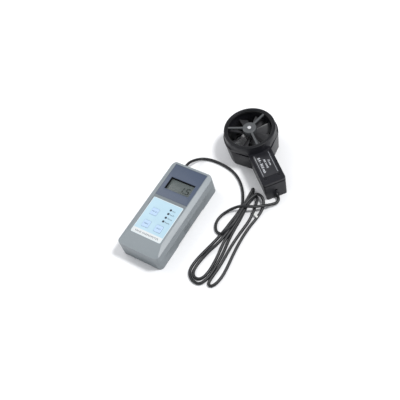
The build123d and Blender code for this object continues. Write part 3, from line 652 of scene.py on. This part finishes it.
TO_PROBE_LEAD = [(0.0316, -0.0508, 0.0034), (0.0236, -0.0506, 0.0024), (0.0174, -0.0445, 0.0022),
                 (0.0144, -0.0355, 0.0022), (0.0152, -0.026, 0.0022), (0.0198, -0.0165, 0.0032),
                 (0.0275, -0.0095, 0.007), (0.037, -0.005, 0.012), (0.046, -0.0022, 0.0122),
                 (0.0545, 0.0022, 0.0106), (0.0625, 0.009, 0.0086), (0.07, 0.0174, 0.0046),
                 (0.0754, 0.0234, 0.004), (0.07524, 0.02959, 0.005), (0.07126, 0.03294, 0.005)]


def make_cable():
    """one round cable from the meter, through every fold of the hank, to the probe"""
    line = bpy.data.curves.new("cable", "CURVE")
    line.dimensions, line.resolution_u = "3D", 8
    line.bevel_depth, line.bevel_resolution = CABLE_R, 5
    spline = line.splines.new("NURBS")
    route = [CABLE_EXIT] + FROM_METER + HANK + TO_PROBE_LEAD
    spline.points.add(len(route) - 1)
    for point, place in zip(spline.points, route):
        point.co = (*place, 1.0)
    spline.order_u = 3
    spline.use_endpoint_u = True
    cable = bpy.data.objects.new("cable", line)
    bpy.context.collection.objects.link(cable)
    line.materials.append(SHEATH)
    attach(cable, "root")
    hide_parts("cable_meter_run", "cable_probe_run", "cable_hank")


make_cable()

# ---------------- meter case
def case_form(inset, floor, top):
    """the case's outside, or its inside when inset by the wall, between two heights"""
    half_w, half_l, crown = HALF_W - inset, HALF_L - inset, CROWN - inset
    form = block(0, 0, floor, 2 * half_w, 2 * half_l, top - floor)
    face_half = FACE_HALF - 0.45 * inset
    for side in (-1, 1):
        cut_off(form, (side * face_half, 0, crown), (side * SHOULDER_DROP, 0, HALF_W - FACE_HALF))
    cut_off(form, (0, SLOPE_LENGTH - HALF_L, crown), (0, -SLOPE_DROP, SLOPE_LENGTH))
    round_edges(form, upright, CORNER_R - 0.8 * inset, 6)
    return form


def grommet_hole():
    return bar((GROMMET_X, HALF_L - 5, SEAM_TOP), (GROMMET_X, HALF_L + 2, SEAM_TOP), GROMMET_HOLE_R)


def box_between(low, high, gap=0.0):
    """box from one corner to the other, with a gap around its sides"""
    size = high - low
    x, y = (low.x + high.x) / 2, (low.y + high.y) / 2
    return block(x, y, low.z, size.x + 2 * gap, size.y + 2 * gap, size.z)


def paint_window_shade(piece):
    """walls inside the window painted near black, as painted shade"""
    piece.data.materials.append(WINDOW_SHADE_BLACK)
    for face in piece.data.polygons:
        spot = (face.center - METER_AT) / MM
        in_window = abs(spot.x) < WINDOW_HALF_W + 0.1 and abs(spot.y - WINDOW_Y) < WINDOW_HALF_L + 0.1
        if in_window and spot.z > CROWN - 4 and abs(face.normal.z) < 0.1:
            face.material_index = 1


def make_front_case():
    """upper shell: shoulders, pockets for panel and keypad, window, key holes and screw bosses"""
    case = case_form(0, SEAM_TOP, CROWN)
    round_edges(case, lambda edge: centre(edge).z > SEAM_TOP + 5 and sharp(edge), CROWN_ROUND, 4)
    cut(case, case_form(WALL, SEAM_TOP - 1, CROWN - WALL))
    for x, y in CASE_SCREWS:
        add(case, post(x, y, BOARD_HIGH.z, CROWN - WALL + 0.4, BOSS_R, sides=32))
        cut(case, post(x, y, BOARD_HIGH.z - 1, BOARD_HIGH.z + SCREW_BITE, SCREW_R, sides=24))
    for low, high in ((PANEL_LOW, PANEL_HIGH), (PAD_LOW, PAD_HIGH)):
        cut(case, box_between(low, high + Vector((0, 0, 2)), POCKET_GAP))
    cut(case, block(0, WINDOW_Y, CROWN - 6, 2 * WINDOW_HALF_W, 2 * WINDOW_HALF_L, 8))
    for node in KEY_NODES:
        low, high = local_box(node)
        cut(case, box_between(Vector((low.x, low.y, PAD_LOW.z - 0.4)), high + Vector((0, 0, 2)), KEY_GAP))
        x, y = (low.x + high.x) / 2, (low.y + high.y) / 2
        cut(case, post(x, y, CROWN - 6, CROWN, STEM_HOLE_R, sides=32))
    cut(case, grommet_hole())
    settle(case, "front_case_shell", TO_METER, "root", "case_grey", CASE_GREY, "front_case")
    # window walls painted near black as painted shade
    paint_window_shade(case)


def make_back_case():
    """lower shell: arched underside, grip ribs, screw wells, battery bay and the cover's rails"""
    case = case_form(0, 0, SEAM_FOOT)
    round_rim(case, 0, FOOT_ROUND, 3)
    arch_y = (ARCH_FAR + ARCH_NEAR) / 2
    arch = block(0, arch_y, -1, 4 * HALF_W, ARCH_FAR - ARCH_NEAR, ARCH_H + 1)
    reshape(arch, lambda corner: corner.co.z > 0, bpy.ops.transform.resize, value=(1, 0.92, 1),
            center_override=(0, arch_y, ARCH_H))
    cut(case, arch, case_form(WALL, ARCH_H + WALL, SEAM_FOOT + 1))
    for x, y in CASE_SCREWS:
        add(case, post(x, y, BOSS_FOOT, BOARD_LOW.z, BOSS_R, sides=32))
        cut(case, post(x, y, -1, HEAD_SEAT, SCREW_HEAD_R, sides=32))
        cut(case, post(x, y, -1, BOARD_LOW.z + 1, SCREW_R + 0.1, sides=24))
    for x, y in BOARD_SCREWS:
        add(case, post(x, y, BOSS_FOOT, BOARD_LOW.z, BOARD_BOSS_R, sides=32))
        cut(case, post(x, y, BOARD_LOW.z - PILOT_DEPTH, BOARD_LOW.z + 1, SCREW_R, sides=24))
    wall_y = BATTERY_HIGH.y + BAY_GAP + BAY_WALL_T / 2
    add(case, block(0, wall_y, BOSS_FOOT, 2 * (HALF_W - WALL) + 1, BAY_WALL_T, BAY_WALL_H))
    bay_low = Vector((-BAY_HALF_W, BATTERY_LOW.y - BAY_GAP, -1))
    cut(case, box_between(bay_low, Vector((BAY_HALF_W, BATTERY_HIGH.y + BAY_GAP, BAY_DEPTH))))
    mouth_y, slot_end = COVER_LOW.y - 3, COVER_HIGH.y + SLIDE_GAP
    slot_low = Vector((COVER_LOW.x + COVER_TONGUE, mouth_y, -1))
    slot_high = Vector((COVER_HIGH.x - COVER_TONGUE, slot_end, COVER_HIGH.z + SLIDE_GAP))
    cut(case, box_between(slot_low, slot_high, SLIDE_GAP))
    rail_low = Vector((COVER_LOW.x, mouth_y, COVER_LOW.z + 0.6))
    rail_high = Vector((COVER_HIGH.x, slot_end, COVER_LOW.z + 2.2))
    cut(case, box_between(rail_low, rail_high, SLIDE_GAP))
    cut(case, grommet_hole())
    for side in (-1, 1):
        for i in range(RIBS):
            cut(case, block(side * HALF_W, RIB_Y + RIB_PITCH * i, RIB_FOOT, RIB_DEPTH, RIB_WIDTH, RIB_HEIGHT))
    settle(case, "back_case_shell", TO_METER, "root", "case_grey", CASE_GREY, "back_case")


def make_battery_cover():
    """sliding cover: tongue on each side, five finger grooves and an arrow"""
    tongue = Vector((COVER_TONGUE, 0, 0))
    low, high = COVER_LOW + tongue, COVER_HIGH - tongue
    cover = box_between(low, high)
    round_edges(cover, lambda edge: centre(edge).z < low.z + 0.01, 0.3, 2)
    add(cover, box_between(Vector((COVER_LOW.x, low.y + 4, low.z + 0.8)),
                           Vector((COVER_HIGH.x, high.y - 4, low.z + 2.0))))
    mid_y = (low.y + high.y) / 2
    for i in range(GRIPS):
        y, z = mid_y - 9 + GRIP_PITCH * i, low.z - 0.3
        cut(cover, bar((-GRIP_HALF, y, z), (GRIP_HALF, y, z), GRIP_R, sides=16))
    arrow = post(0, mid_y + ARROW_AT, low.z - 0.5, low.z + 0.5, ARROW_R, sides=3)
    reshape(arrow, all_parts, bpy.ops.transform.rotate, value=math.pi, orient_axis="Z",
            center_override=(0, mid_y + ARROW_AT, 0))
    cut(cover, arrow)
    settle(cover, "battery_cover_plate", TO_METER, "battery_cover", "case_grey", CASE_GREY, "battery_cover")


def make_display_panel():
    """printed plate with a bevelled window"""
    panel = box_between(PANEL_LOW, PANEL_HIGH)
    round_edges(panel, upright, 1.0, 3)
    cut(panel, block(0, WINDOW_Y, PANEL_LOW.z - 1, 2 * WINDOW_HALF_W, 2 * WINDOW_HALF_L, 4))

    def window_rim(edge):
        spot = centre(edge)
        inside = abs(spot.x) < WINDOW_HALF_W + 0.1 and abs(spot.y - WINDOW_Y) < WINDOW_HALF_L + 0.1
        return inside and spot.z > PANEL_HIGH.z - 0.01
    round_edges(panel, window_rim, 0.55, 1)
    round_rim(panel, PANEL_HIGH.z, 0.2, 2)
    settle(panel, "display_plate", TO_METER, "root", "display_blue", DISPLAY_FILM, "display_panel",
           smooth=30)
    # window walls painted near black as painted shade
    paint_window_shade(panel)


def make_keypad():
    """printed membrane with a hole for each key"""
    pad = box_between(PAD_LOW, PAD_HIGH)
    round_edges(pad, upright, 1.5, 4)
    for node in KEY_NODES:
        low, high = local_box(node)
        hole = box_between(Vector((low.x, low.y, PAD_LOW.z - 1)), high + Vector((0, 0, 2)), KEY_GAP)
        round_edges(hole, upright, 1.2, 4)
        cut(pad, hole)
    soften(pad, 0.12, 2, angle=60)
    settle(pad, "keypad_membrane", TO_METER, "root", "keypad_blue", KEYPAD_FILM, "keypad_overlay")


def make_key(node, legend):
    """square key top with a raised middle, its hidden stem, and its printed legend"""
    low, high = local_box(node)
    key = box_between(Vector((low.x, low.y, high.z - KEY_CAP_T)), high)
    round_edges(key, upright, 1.1, 4)
    choose(key, "FACE", lambda face: face.normal.z > 0.9)
    bpy.ops.mesh.inset(thickness=KEY_BORDER)
    done()
    x, y = (low.x + high.x) / 2, (low.y + high.y) / 2
    reshape(key, lambda corner: corner.co.z > high.z - 0.01
            and max(abs(corner.co.x - x), abs(corner.co.y - y)) > 4.5,
            bpy.ops.transform.translate, value=(0, 0, -KEY_DROP))
    add(key, post(x, y, low.z, high.z - 0.6, KEY_STEM_R, sides=32))
    settle(key, node + "_top", TO_METER, node, "key_lilac", KEY_FILM, node, smooth=50)
    mark = lettering(legend, x, y, high.z + 0.01, 3.0)
    settle(mark, node + "_legend", TO_METER, node, "display_blue", PRINT_BLUE)


# ---------------- print and display
PRINT_T = 0.03
TITLE_Y, TITLE_SIZE = -45.6, 3.7
UNITS = ("m/s", "km/h", "ft/min", "knots")
UNIT_PITCH, UNIT_DOT_X, UNIT_NAME_X, UNIT_SIZE = 6.3, 9.5, 12.2, 3.3
READING_Y, DIGITS_Z = WINDOW_Y - 5.6, GLASS_HIGH.z + 0.02
DIGITS_AT, POINT_X, POINT_R = (("1", 3.2), ("5", 12.6)), 8.0, 0.75
SEGMENT_W, DIGIT_W, DIGIT_H, DIGIT_LEAN = 1.6, 4.6, 8.6, 0.12
SEGMENTS = {"top": (0, 1, 0), "upper_left": (-0.5, 0.75, 1), "upper_right": (0.5, 0.75, 1),
            "middle": (0, 0.5, 0), "lower_left": (-0.5, 0.25, 1), "lower_right": (0.5, 0.25, 1),
            "bottom": (0, 0, 0)}
DIGIT_SEGMENTS = {"1": ("upper_right", "lower_right"),
                  "5": ("top", "upper_left", "middle", "lower_right", "bottom")}


def lettering(words, x, y, z, size, bold=0.0, align="CENTER", spacing=1.0):
    """flat print, a hair above the surface that it is on"""
    deselect()
    bpy.ops.object.text_add(location=(x, y, z + PRINT_T / 2))
    text = bpy.context.object
    text.data.body, text.data.size, text.data.space_character = words, size, spacing
    text.data.align_x, text.data.align_y = align, "CENTER"
    text.data.extrude, text.data.offset, text.data.resolution_u = PRINT_T / 2, bold, 3
    bpy.ops.object.convert(target="MESH")
    bpy.ops.object.transform_apply()
    return bpy.context.object


def segment(x, y, z, length, stands):
    """one bar of a digit: a long hexagon with pointed ends"""
    stroke = post(x, y, z, z + PRINT_T, SEGMENT_W / 2, sides=6)
    stretch = (length - SEGMENT_W) / 2
    for side in (-1, 1):
        reshape(stroke, lambda corner: side * (corner.co.y - y) > 0.1,
                bpy.ops.transform.translate, value=(0, side * stretch, 0))
    if not stands:
        reshape(stroke, all_parts, bpy.ops.transform.rotate, value=math.pi / 2, orient_axis="Z",
                center_override=(x, y, z))
    return stroke


def digit(name, x, foot):
    """the lit segments of one digit, leaning like italics"""
    made = []
    for place in DIGIT_SEGMENTS[name]:
        across, up, stands = SEGMENTS[place]
        lean = DIGIT_LEAN * DIGIT_H * (up - 0.5)
        length = DIGIT_H / 2 - 0.35 if stands else DIGIT_W - 0.3
        made.append(segment(x + across * DIGIT_W + lean, foot + up * DIGIT_H, DIGITS_Z, length, stands))
    return made


def make_reading():
    """the display's glass and the number it shows"""
    glass = box_between(GLASS_LOW, GLASS_HIGH)
    round_edges(glass, lambda edge: sharp(edge, 60), 0.2, 2)
    settle(glass, "lcd_cell", TO_METER, "root", "lcd", LCD_FILM, "lcd_glass")
    number = [stroke for name, x in DIGITS_AT for stroke in digit(name, x, READING_Y)]
    number.append(post(POINT_X, READING_Y, DIGITS_Z, DIGITS_Z + PRINT_T, POINT_R, sides=16))
    settle(joined(number), "lcd_reading", TO_METER, "root", "lcd", LCD_SEGMENT)


def make_print():
    """title strip, unit lamps and unit names on the keypad"""
    top = PAD_HIGH.z + 0.005
    title = lettering("VANE ANEMOMETER", 0, TITLE_Y, top, TITLE_SIZE, spacing=1.12)
    settle(title, "keypad_title", TO_METER, "root", "display_blue", PRINT_DARK)
    dots, names = [], []
    for i, unit in enumerate(UNITS):
        y = -UNIT_PITCH * i
        dots.append(post(UNIT_DOT_X, y, top, top + 2 * PRINT_T, 1.75, top_radius=1.65, sides=24))
        names.append(lettering(unit, UNIT_NAME_X, y - 0.2, top, UNIT_SIZE, align="LEFT"))
    settle(joined(dots), "unit_marks", TO_METER, "root", "display_blue", PRINT_DARK)
    settle(joined(names), "unit_names", TO_METER, "root", "display_blue", PRINT_DARK)


# ---------------- probe
def cut_flats(piece, z, top, foot_radius, top_radius, foot_half):
    """take the round side off where the handle starts, leaving a flat on each side"""
    ahead, aside = math.cos(SHOULDER_ANGLE), math.sin(SHOULDER_ANGLE)
    for side in (-1, 1):
        foot = Vector((ahead * foot_radius, side * aside * foot_radius, z))
        along = Vector((FLAT_END_X, side * foot_half, z)) - foot
        rise = Vector((ahead * top_radius, side * aside * top_radius, top)) - foot
        cut_off(piece, foot, side * rise.cross(along))


def head_form(z, top, foot_radius, top_radius, foot_half, top_half, end_x):
    """round head with a flat on each side of the handle, and the handle"""
    shoulder = Vector((math.cos(SHOULDER_ANGLE), math.sin(SHOULDER_ANGLE)))
    corner, corner_top = shoulder * foot_radius, shoulder * top_radius
    drum = post(0, 0, z, top, foot_radius, top_radius, sides=HEAD_SIDES)
    cut_flats(drum, z, top, foot_radius, top_radius, foot_half)
    handle = block(corner.x / 2, 0, z, corner.x, 2 * corner.y, top - z)
    for reach in (FLAT_END_X - corner.x, end_x - FLAT_END_X):
        choose(handle, "FACE", lambda face: face.normal.x > 0.9)
        front = max(vertex.co.x for vertex in bmesh.from_edit_mesh(handle.data).verts)
        bpy.ops.mesh.extrude_region_move(TRANSFORM_OT_translate={"value": (reach, 0, 0)})
        shape = bmesh.from_edit_mesh(handle.data)
        reach_y = max(vertex.co.y for vertex in shape.verts if vertex.co.x > front + 0.1)
        bpy.ops.transform.resize(value=(1, foot_half / reach_y, 1), center_override=(0, 0, z))
        done()
    reshape(handle, lambda vertex: vertex.co.z > z + 0.1 and vertex.co.x < FLAT_END_X - 1,
            bpy.ops.transform.resize, value=(corner_top.x / corner.x, corner_top.y / corner.y, 1),
            center_override=(0, 0, z))
    reshape(handle, lambda vertex: vertex.co.z > z + 0.1 and vertex.co.x > FLAT_END_X - 1,
            bpy.ops.transform.resize, value=(1, top_half / foot_half, 1), center_override=(0, 0, z))
    round_edges(handle, lambda edge: centre(edge).x > end_x - 0.1 and abs(centre(edge).y) > foot_half - 2
                and abs(edge.verts[0].co.z - edge.verts[1].co.z) > 1, 2.6, 5)
    add(drum, handle)
    return drum


def make_front_shell():
    """upper shell: flared skirt with its flats, true collar, mouth, screw wells and the label's recess"""
    flare_foot = PART_Z + 1.0
    shell = post(0, 0, flare_foot, COLLAR_Z, LEDGE_R - 0.25, RIM_R, sides=HEAD_SIDES)
    cut_flats(shell, flare_foot, COLLAR_Z, LEDGE_R, LEDGE_R, HANDLE_HALF)
    add(shell, post(0, 0, COLLAR_Z, RIM_Z, RIM_R, sides=HEAD_SIDES))
    add(shell, head_form(PART_Z, HANDLE_TOP, LEDGE_R, LEDGE_R, HANDLE_HALF, HANDLE_HALF, HANDLE_X))
    cut(shell, post(0, 0, PART_Z - 1, RIM_Z + 1, BORE_R, sides=HEAD_SIDES))
    hollow_w, hollow_h = 2 * HANDLE_HALF - 4.5, HANDLE_TOP - PART_Z - 1
    cut(shell, block(HOLLOW_X, 0, PART_Z - 1, HOLLOW_L, hollow_w, hollow_h))
    for x, y in PROBE_SCREWS:
        add(shell, post(x, y, PART_Z, HANDLE_TOP - 0.5, BOSS_R, sides=32))
        cut(shell, post(x, y, HANDLE_TOP - HEAD_WELL, HANDLE_TOP + 1, SCREW_HEAD_R, sides=32))
        cut(shell, post(x, y, PART_Z - 1, HANDLE_TOP + 1, SCREW_R + 0.05, sides=24))
    cut(shell, block(LABEL_X, 0, HANDLE_TOP - LABEL_SINK, LABEL_L + 0.2, LABEL_W + 0.2, 2))
    round_edges(shell, lambda edge: all(corner.co.z > RIM_Z - 0.01 for corner in edge.verts), 0.9, 3)
    soften(shell, 0.35, 2, angle=50)
    settle(shell, "probe_front_housing", TO_PROBE, "root", "probe_black", PROBE_BLACK, "probe_front_shell")


def make_rear_shell():
    """lower shell: tapered drum and handle, parting groove, cable hole and hollow handle"""
    groove_z = PART_Z - GROOVE_H
    near_top = REAR_FOOT_R + (REAR_TOP_R - REAR_FOOT_R) * groove_z / PART_Z
    half_near = HANDLE_FOOT_HALF + (HANDLE_HALF - HANDLE_FOOT_HALF) * groove_z / PART_Z
    shell = head_form(0, groove_z, REAR_FOOT_R, near_top, HANDLE_FOOT_HALF, half_near, HANDLE_X)
    round_rim(shell, 0, 0.9, 4, degrees=50)
    add(shell, head_form(groove_z - 1, PART_Z - 0.1, REAR_TOP_R - GROOVE_D, REAR_TOP_R - GROOVE_D,
                         HANDLE_HALF - 1, HANDLE_HALF - 1, HANDLE_X - 1))
    cut(shell, post(0, 0, -1, PART_Z + 1, BORE_R, sides=HEAD_SIDES))
    cut(shell, block(HOLLOW_X, 0, 3, HOLLOW_L, 2 * HANDLE_FOOT_HALF - 3.4, PART_Z))
    for x, y in PROBE_SCREWS:
        add(shell, post(x, y, 2, PART_Z - 0.3, BOSS_R, sides=32))
        cut(shell, post(x, y, PART_Z - PROBE_PILOT, PART_Z + 1, SCREW_R, sides=24))
    cut(shell, bar((HANDLE_X - 6, 0, PROBE_EXIT_Z), (HANDLE_X + 2, 0, PROBE_EXIT_Z), GROMMET_HOLE_R))
    cut(shell, block(HANDLE_X, 0, SOCKET_Z, SOCKET_DEPTH, SOCKET_W, SOCKET_H))
    soften(shell, 0.3, 2, angle=50)
    settle(shell, "probe_rear_housing", TO_PROBE, "root", "probe_black", PROBE_BLACK, "probe_rear_shell")


def make_label():
    """printed plate on the handle with range and size, generic"""
    plate = block(LABEL_X, 0, HANDLE_TOP - LABEL_SINK, LABEL_L, LABEL_W, LABEL_T)
    round_edges(plate, upright, 1.0, 3)
    round_rim(plate, HANDLE_TOP - LABEL_SINK + LABEL_T, 0.2, 2)
    settle(plate, "probe_label_plate", TO_PROBE, "root", "label_black", LABEL_PLATE, "probe_label")
    top = HANDLE_TOP + 0.505
    lines = [("0.4 - 30.0 m/s", 59.0, -5.8, 4.9, 0.1), ("AIR VANE", 58.5, 0.3, 3.6, 0.05),
             ("72 mm", 58.5, 5.4, 3.6, 0.05)]
    made = [lettering(words, x, y, top, size, bold=bold) for words, x, y, size, bold in lines]
    settle(joined(made), "probe_label_print", TO_PROBE, "root", "tie_white", PRINT_WHITE)


# ---------------- bridges and vane
def make_bridge(name, node, hub_radius, hub_z, hub_top, ring_top, arm_top, first, pivot_from_top):
    """ring, three arms and a hub that holds the pivot"""
    ring = post(0, 0, ring_top - ARM_H, ring_top, BORE_R - 0.05, sides=96)
    cut(ring, post(0, 0, ring_top - ARM_H - 1, ring_top + 1, BORE_R - RING_T, sides=96))
    hub = post(0, 0, hub_z, hub_top, hub_radius, sides=64)
    round_rim(hub, hub_top, 1.2, 4)
    add(ring, hub)
    length = BORE_R - 0.6 - (hub_radius - 1)
    for i in range(ARMS):
        arm = block(hub_radius - 1 + length / 2, 0, arm_top - ARM_H, length, ARM_W, ARM_H)
        reshape(arm, lambda corner: corner.co.x > hub_radius + 1,
                bpy.ops.transform.translate, value=(0, 0, ring_top - arm_top))
        round_edges(arm, lambda edge: abs(centre(edge).y) > 0.1
                    and abs(edge.verts[0].co.x - edge.verts[1].co.x) > 5, 0.7, 3)
        reshape(arm, all_parts, bpy.ops.transform.rotate, value=-first - i * math.tau / ARMS,
                orient_axis="Z", center_override=(0, 0, 0))
        add(ring, arm)
    jewel_low, jewel_high = (hub_z, hub_z + JEWEL_T) if pivot_from_top else (hub_top - JEWEL_T, hub_top)
    well = (jewel_high, hub_top + 1) if pivot_from_top else (hub_z - 1, jewel_low)
    cut(ring, post(0, 0, *well, PIVOT_R, sides=48))
    cut(ring, post(0, 0, jewel_low - 0.5, jewel_high + 0.5, JEWEL_R, sides=32))
    settle(ring, name, TO_PROBE, "root", "bridge_grey", BRIDGE_GREY, node)


def make_pivot_head():
    """bright domed screw in the middle of the front hub"""
    foot, top = (corner.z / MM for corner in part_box("front_pivot_screw"))
    screw = post(0, 0, foot, top, PIVOT_R - 0.02, sides=64)
    round_rim(screw, top, 0.45, 4)
    cut(screw, block(0, 0, top - 0.5, 3.6, 0.6, 1))
    settle(screw, "front_pivot_head", TO_PROBE, "root", "steel", PIVOT_STEEL, "front_pivot_screw")


def make_vane():
    """hub with twisted blades that widen towards the tip, each a thin moulded plate"""
    deselect()
    root = VANE_HUB_R - 0.8
    span = BLADE_R - root
    bpy.ops.mesh.primitive_grid_add(x_subdivisions=10, y_subdivisions=8, size=1,
                                    location=(root + span / 2, 0, VANE_Z))
    blade = bpy.context.object
    blade.scale = (span, BLADE_CHORD, 1)
    activate(blade)
    bpy.ops.object.transform_apply()
    stations = sorted({round(corner.co.x, 3) for corner in blade.data.vertices})
    for station in stations:
        share = (station - root) / span
        pitch = BLADE_ROOT_PITCH + (BLADE_TIP_PITCH - BLADE_ROOT_PITCH) * share
        narrow = 0.66 + 0.34 * math.sin(share * math.pi / 2)
        choose(blade, "VERT", lambda corner: abs(corner.co.x - station) < 0.01)
        bpy.ops.transform.resize(value=(1, narrow, 1), center_override=(station, 0, VANE_Z))
        bpy.ops.transform.rotate(value=-pitch, orient_axis="X", center_override=(station, 0, VANE_Z))
        done()
    thicken = blade.modifiers.new("thickness", "SOLIDIFY")
    thicken.thickness, thicken.offset = BLADE_T, 0
    activate(blade)
    bpy.ops.object.modifier_apply(modifier=thicken.name)
    soften(blade, 0.25, 2, angle=50)
    blades = [copy_of(blade, Matrix.Rotation(i * math.tau / BLADES, 4, "Z")) for i in range(1, BLADES)]
    hub = post(0, 0, VANE_Z - VANE_HUB_H / 2, VANE_Z + VANE_HUB_H / 2, VANE_HUB_R, sides=64)
    round_edges(hub, lambda edge: sharp(edge, 60), 1.0, 4)
    cut(hub, post(0, 0, 0, 2 * VANE_Z, AXLE_R + 0.02, sides=32))
    settle(joined([hub, blade] + blades), "vane_wheel", TO_PROBE, "vane", "vane_grey", VANE_GREY, "vane")


# ---------------- tie
TIE_L, TIE_W, TIE_T, TIE_TURN = 12.4, 2.6, 0.5, math.radians(-24)


def make_tie():
    """flat twist tie laid over the hank, with a knot in its middle"""
    low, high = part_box("hank_tie")
    place = (low + high) / 2
    strap = block(0, 0, -0.35, TIE_L, TIE_W, TIE_T)
    choose(strap, "EDGE", lambda edge: abs(edge.verts[0].co.x - edge.verts[1].co.x) > 5)
    bpy.ops.mesh.subdivide(number_cuts=11)
    done()
    for side in (-1, 1):
        reshape(strap, lambda corner: side * corner.co.x > 4.0,
                bpy.ops.transform.translate, value=(0, 0, -0.05))
    soften(strap, 0.15, 2, angle=50)
    add(strap, post(0, 0, -0.1, 0.38, 0.5, sides=16))
    where = Matrix.Translation(place) @ Matrix.Rotation(TIE_TURN, 4, "Z") @ Matrix.Scale(MM, 4)
    settle(strap, "twist_tie", where, "root", "tie_white", TIE_PAPER, "hank_tie")


make_front_case()
make_back_case()
make_battery_cover()
make_display_panel()
make_keypad()
for key_node, words in zip(KEY_NODES, ("HOLD", "MAX", "UNIT")):
    make_key(key_node, words)
make_reading()
make_print()
make_front_shell()
make_rear_shell()
make_label()
make_bridge("front_bridge_casting", "front_bridge", HUB_R, HUB_Z, HUB_TOP, ARM_RIM_Z,
            HUB_TOP - 0.6, 0.0, True)
make_bridge("rear_bridge_casting", "rear_bridge", REAR_HUB_R, REAR_HUB_Z, REAR_HUB_TOP, REAR_HUB_Z + ARM_H,
            REAR_HUB_Z + ARM_H, math.pi / 3, False)
make_pivot_head()
make_vane()
make_tie()

# ---------------- floor, light and camera
CAMERA_AT = Vector((0.3956, -0.3891, 0.7905))
CAMERA_RIGHT = Vector((0.8321, 0.5178, -0.1986))
CAMERA_AHEAD = Vector((-0.4342, 0.3855, -0.8141))
FOCAL_LENGTH = 63.0


def make_camera():
    lens = bpy.data.cameras.new("studio_camera")
    lens.lens, lens.sensor_width = FOCAL_LENGTH, 36.0
    lens.clip_start, lens.clip_end = 0.01, 20.0
    camera = bpy.data.objects.new("studio_camera", lens)
    bpy.context.collection.objects.link(camera)
    ahead = CAMERA_AHEAD.normalized()
    up = CAMERA_RIGHT.cross(ahead).normalized()
    right = ahead.cross(up)
    camera.matrix_world = Matrix.Translation(CAMERA_AT) @ Matrix((right, up, -ahead)).transposed().to_4x4()
    bpy.context.scene.camera = camera


def softbox(name, place, aim, size, power):
    light = bpy.data.lights.new(name, "AREA")
    light.shape, light.size, light.energy = "DISK", size, power
    lamp = bpy.data.objects.new(name, light)
    bpy.context.collection.objects.link(lamp)
    lamp.location = place
    lamp.rotation_euler = (Vector(aim) - Vector(place)).to_track_quat("-Z", "Y").to_euler()


def make_studio():
    deselect()
    bpy.ops.mesh.primitive_plane_add(size=12)
    floor = bpy.context.object
    floor.name = "studio_floor"
    paper = bpy.data.materials.new("white_paper")
    paper.use_nodes = True
    surface = paper.node_tree.nodes["Principled BSDF"]
    surface.inputs["Base Color"].default_value = srgb(250, 250, 251)
    surface.inputs["Roughness"].default_value = 0.85
    surface.inputs["Specular IOR Level"].default_value = 0.15
    floor.data.materials.append(paper)
    world = bpy.data.worlds.new("studio")
    bpy.context.scene.world = world
    world.use_nodes = True
    world.node_tree.nodes["Background"].inputs["Color"].default_value = (0.95, 0.97, 1.0, 1.0)
    world.node_tree.nodes["Background"].inputs["Strength"].default_value = 0.58
    softbox("key_softbox", (0.62, 0.3, 1.35), (0.0, 0.0, 0.0), 0.28, 14.5)
    softbox("left_softbox", (-0.9, 0.1, 0.9), (0.0, 0.0, 0.0), 0.9, 4.0)
    bpy.context.scene.view_settings.view_transform = "Standard"


make_camera()
make_studio()

# ---------------- carried-over parts
NODE_FINISHES = {
    "main_board": SOLDER_MASK, "probe_board": SOLDER_MASK,
    "board_components": PROBE_BLACK, "probe_board_components": PROBE_BLACK, "key_switches": INNER_PLASTIC,
    "lcd_frame": INNER_PLASTIC, "lcd_connectors": PROBE_BLACK, "case_screws": STEEL, "board_screws": STEEL,
    "battery": BATTERY_JACKET, "battery_snap": PROBE_BLACK, "meter_grommet": PROBE_BLACK,
    # the probe's screws get dark steel as painted shade in their wells
    "probe_grommet": PROBE_BLACK, "probe_screws": SCREW_WELL_SHADE_STEEL, "rear_pivot_screw": STEEL,
    "front_jewel": RUBY, "rear_jewel": RUBY, "pickup_sensor": PROBE_BLACK, "vane_axle": STEEL,
    "vane_magnet": MAGNET_METAL, "window_lens": CLEAR_LENS,
}
for node, finish in NODE_FINISHES.items():
    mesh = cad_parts[node].data
    mesh.materials.clear()
    mesh.materials.append(finish)
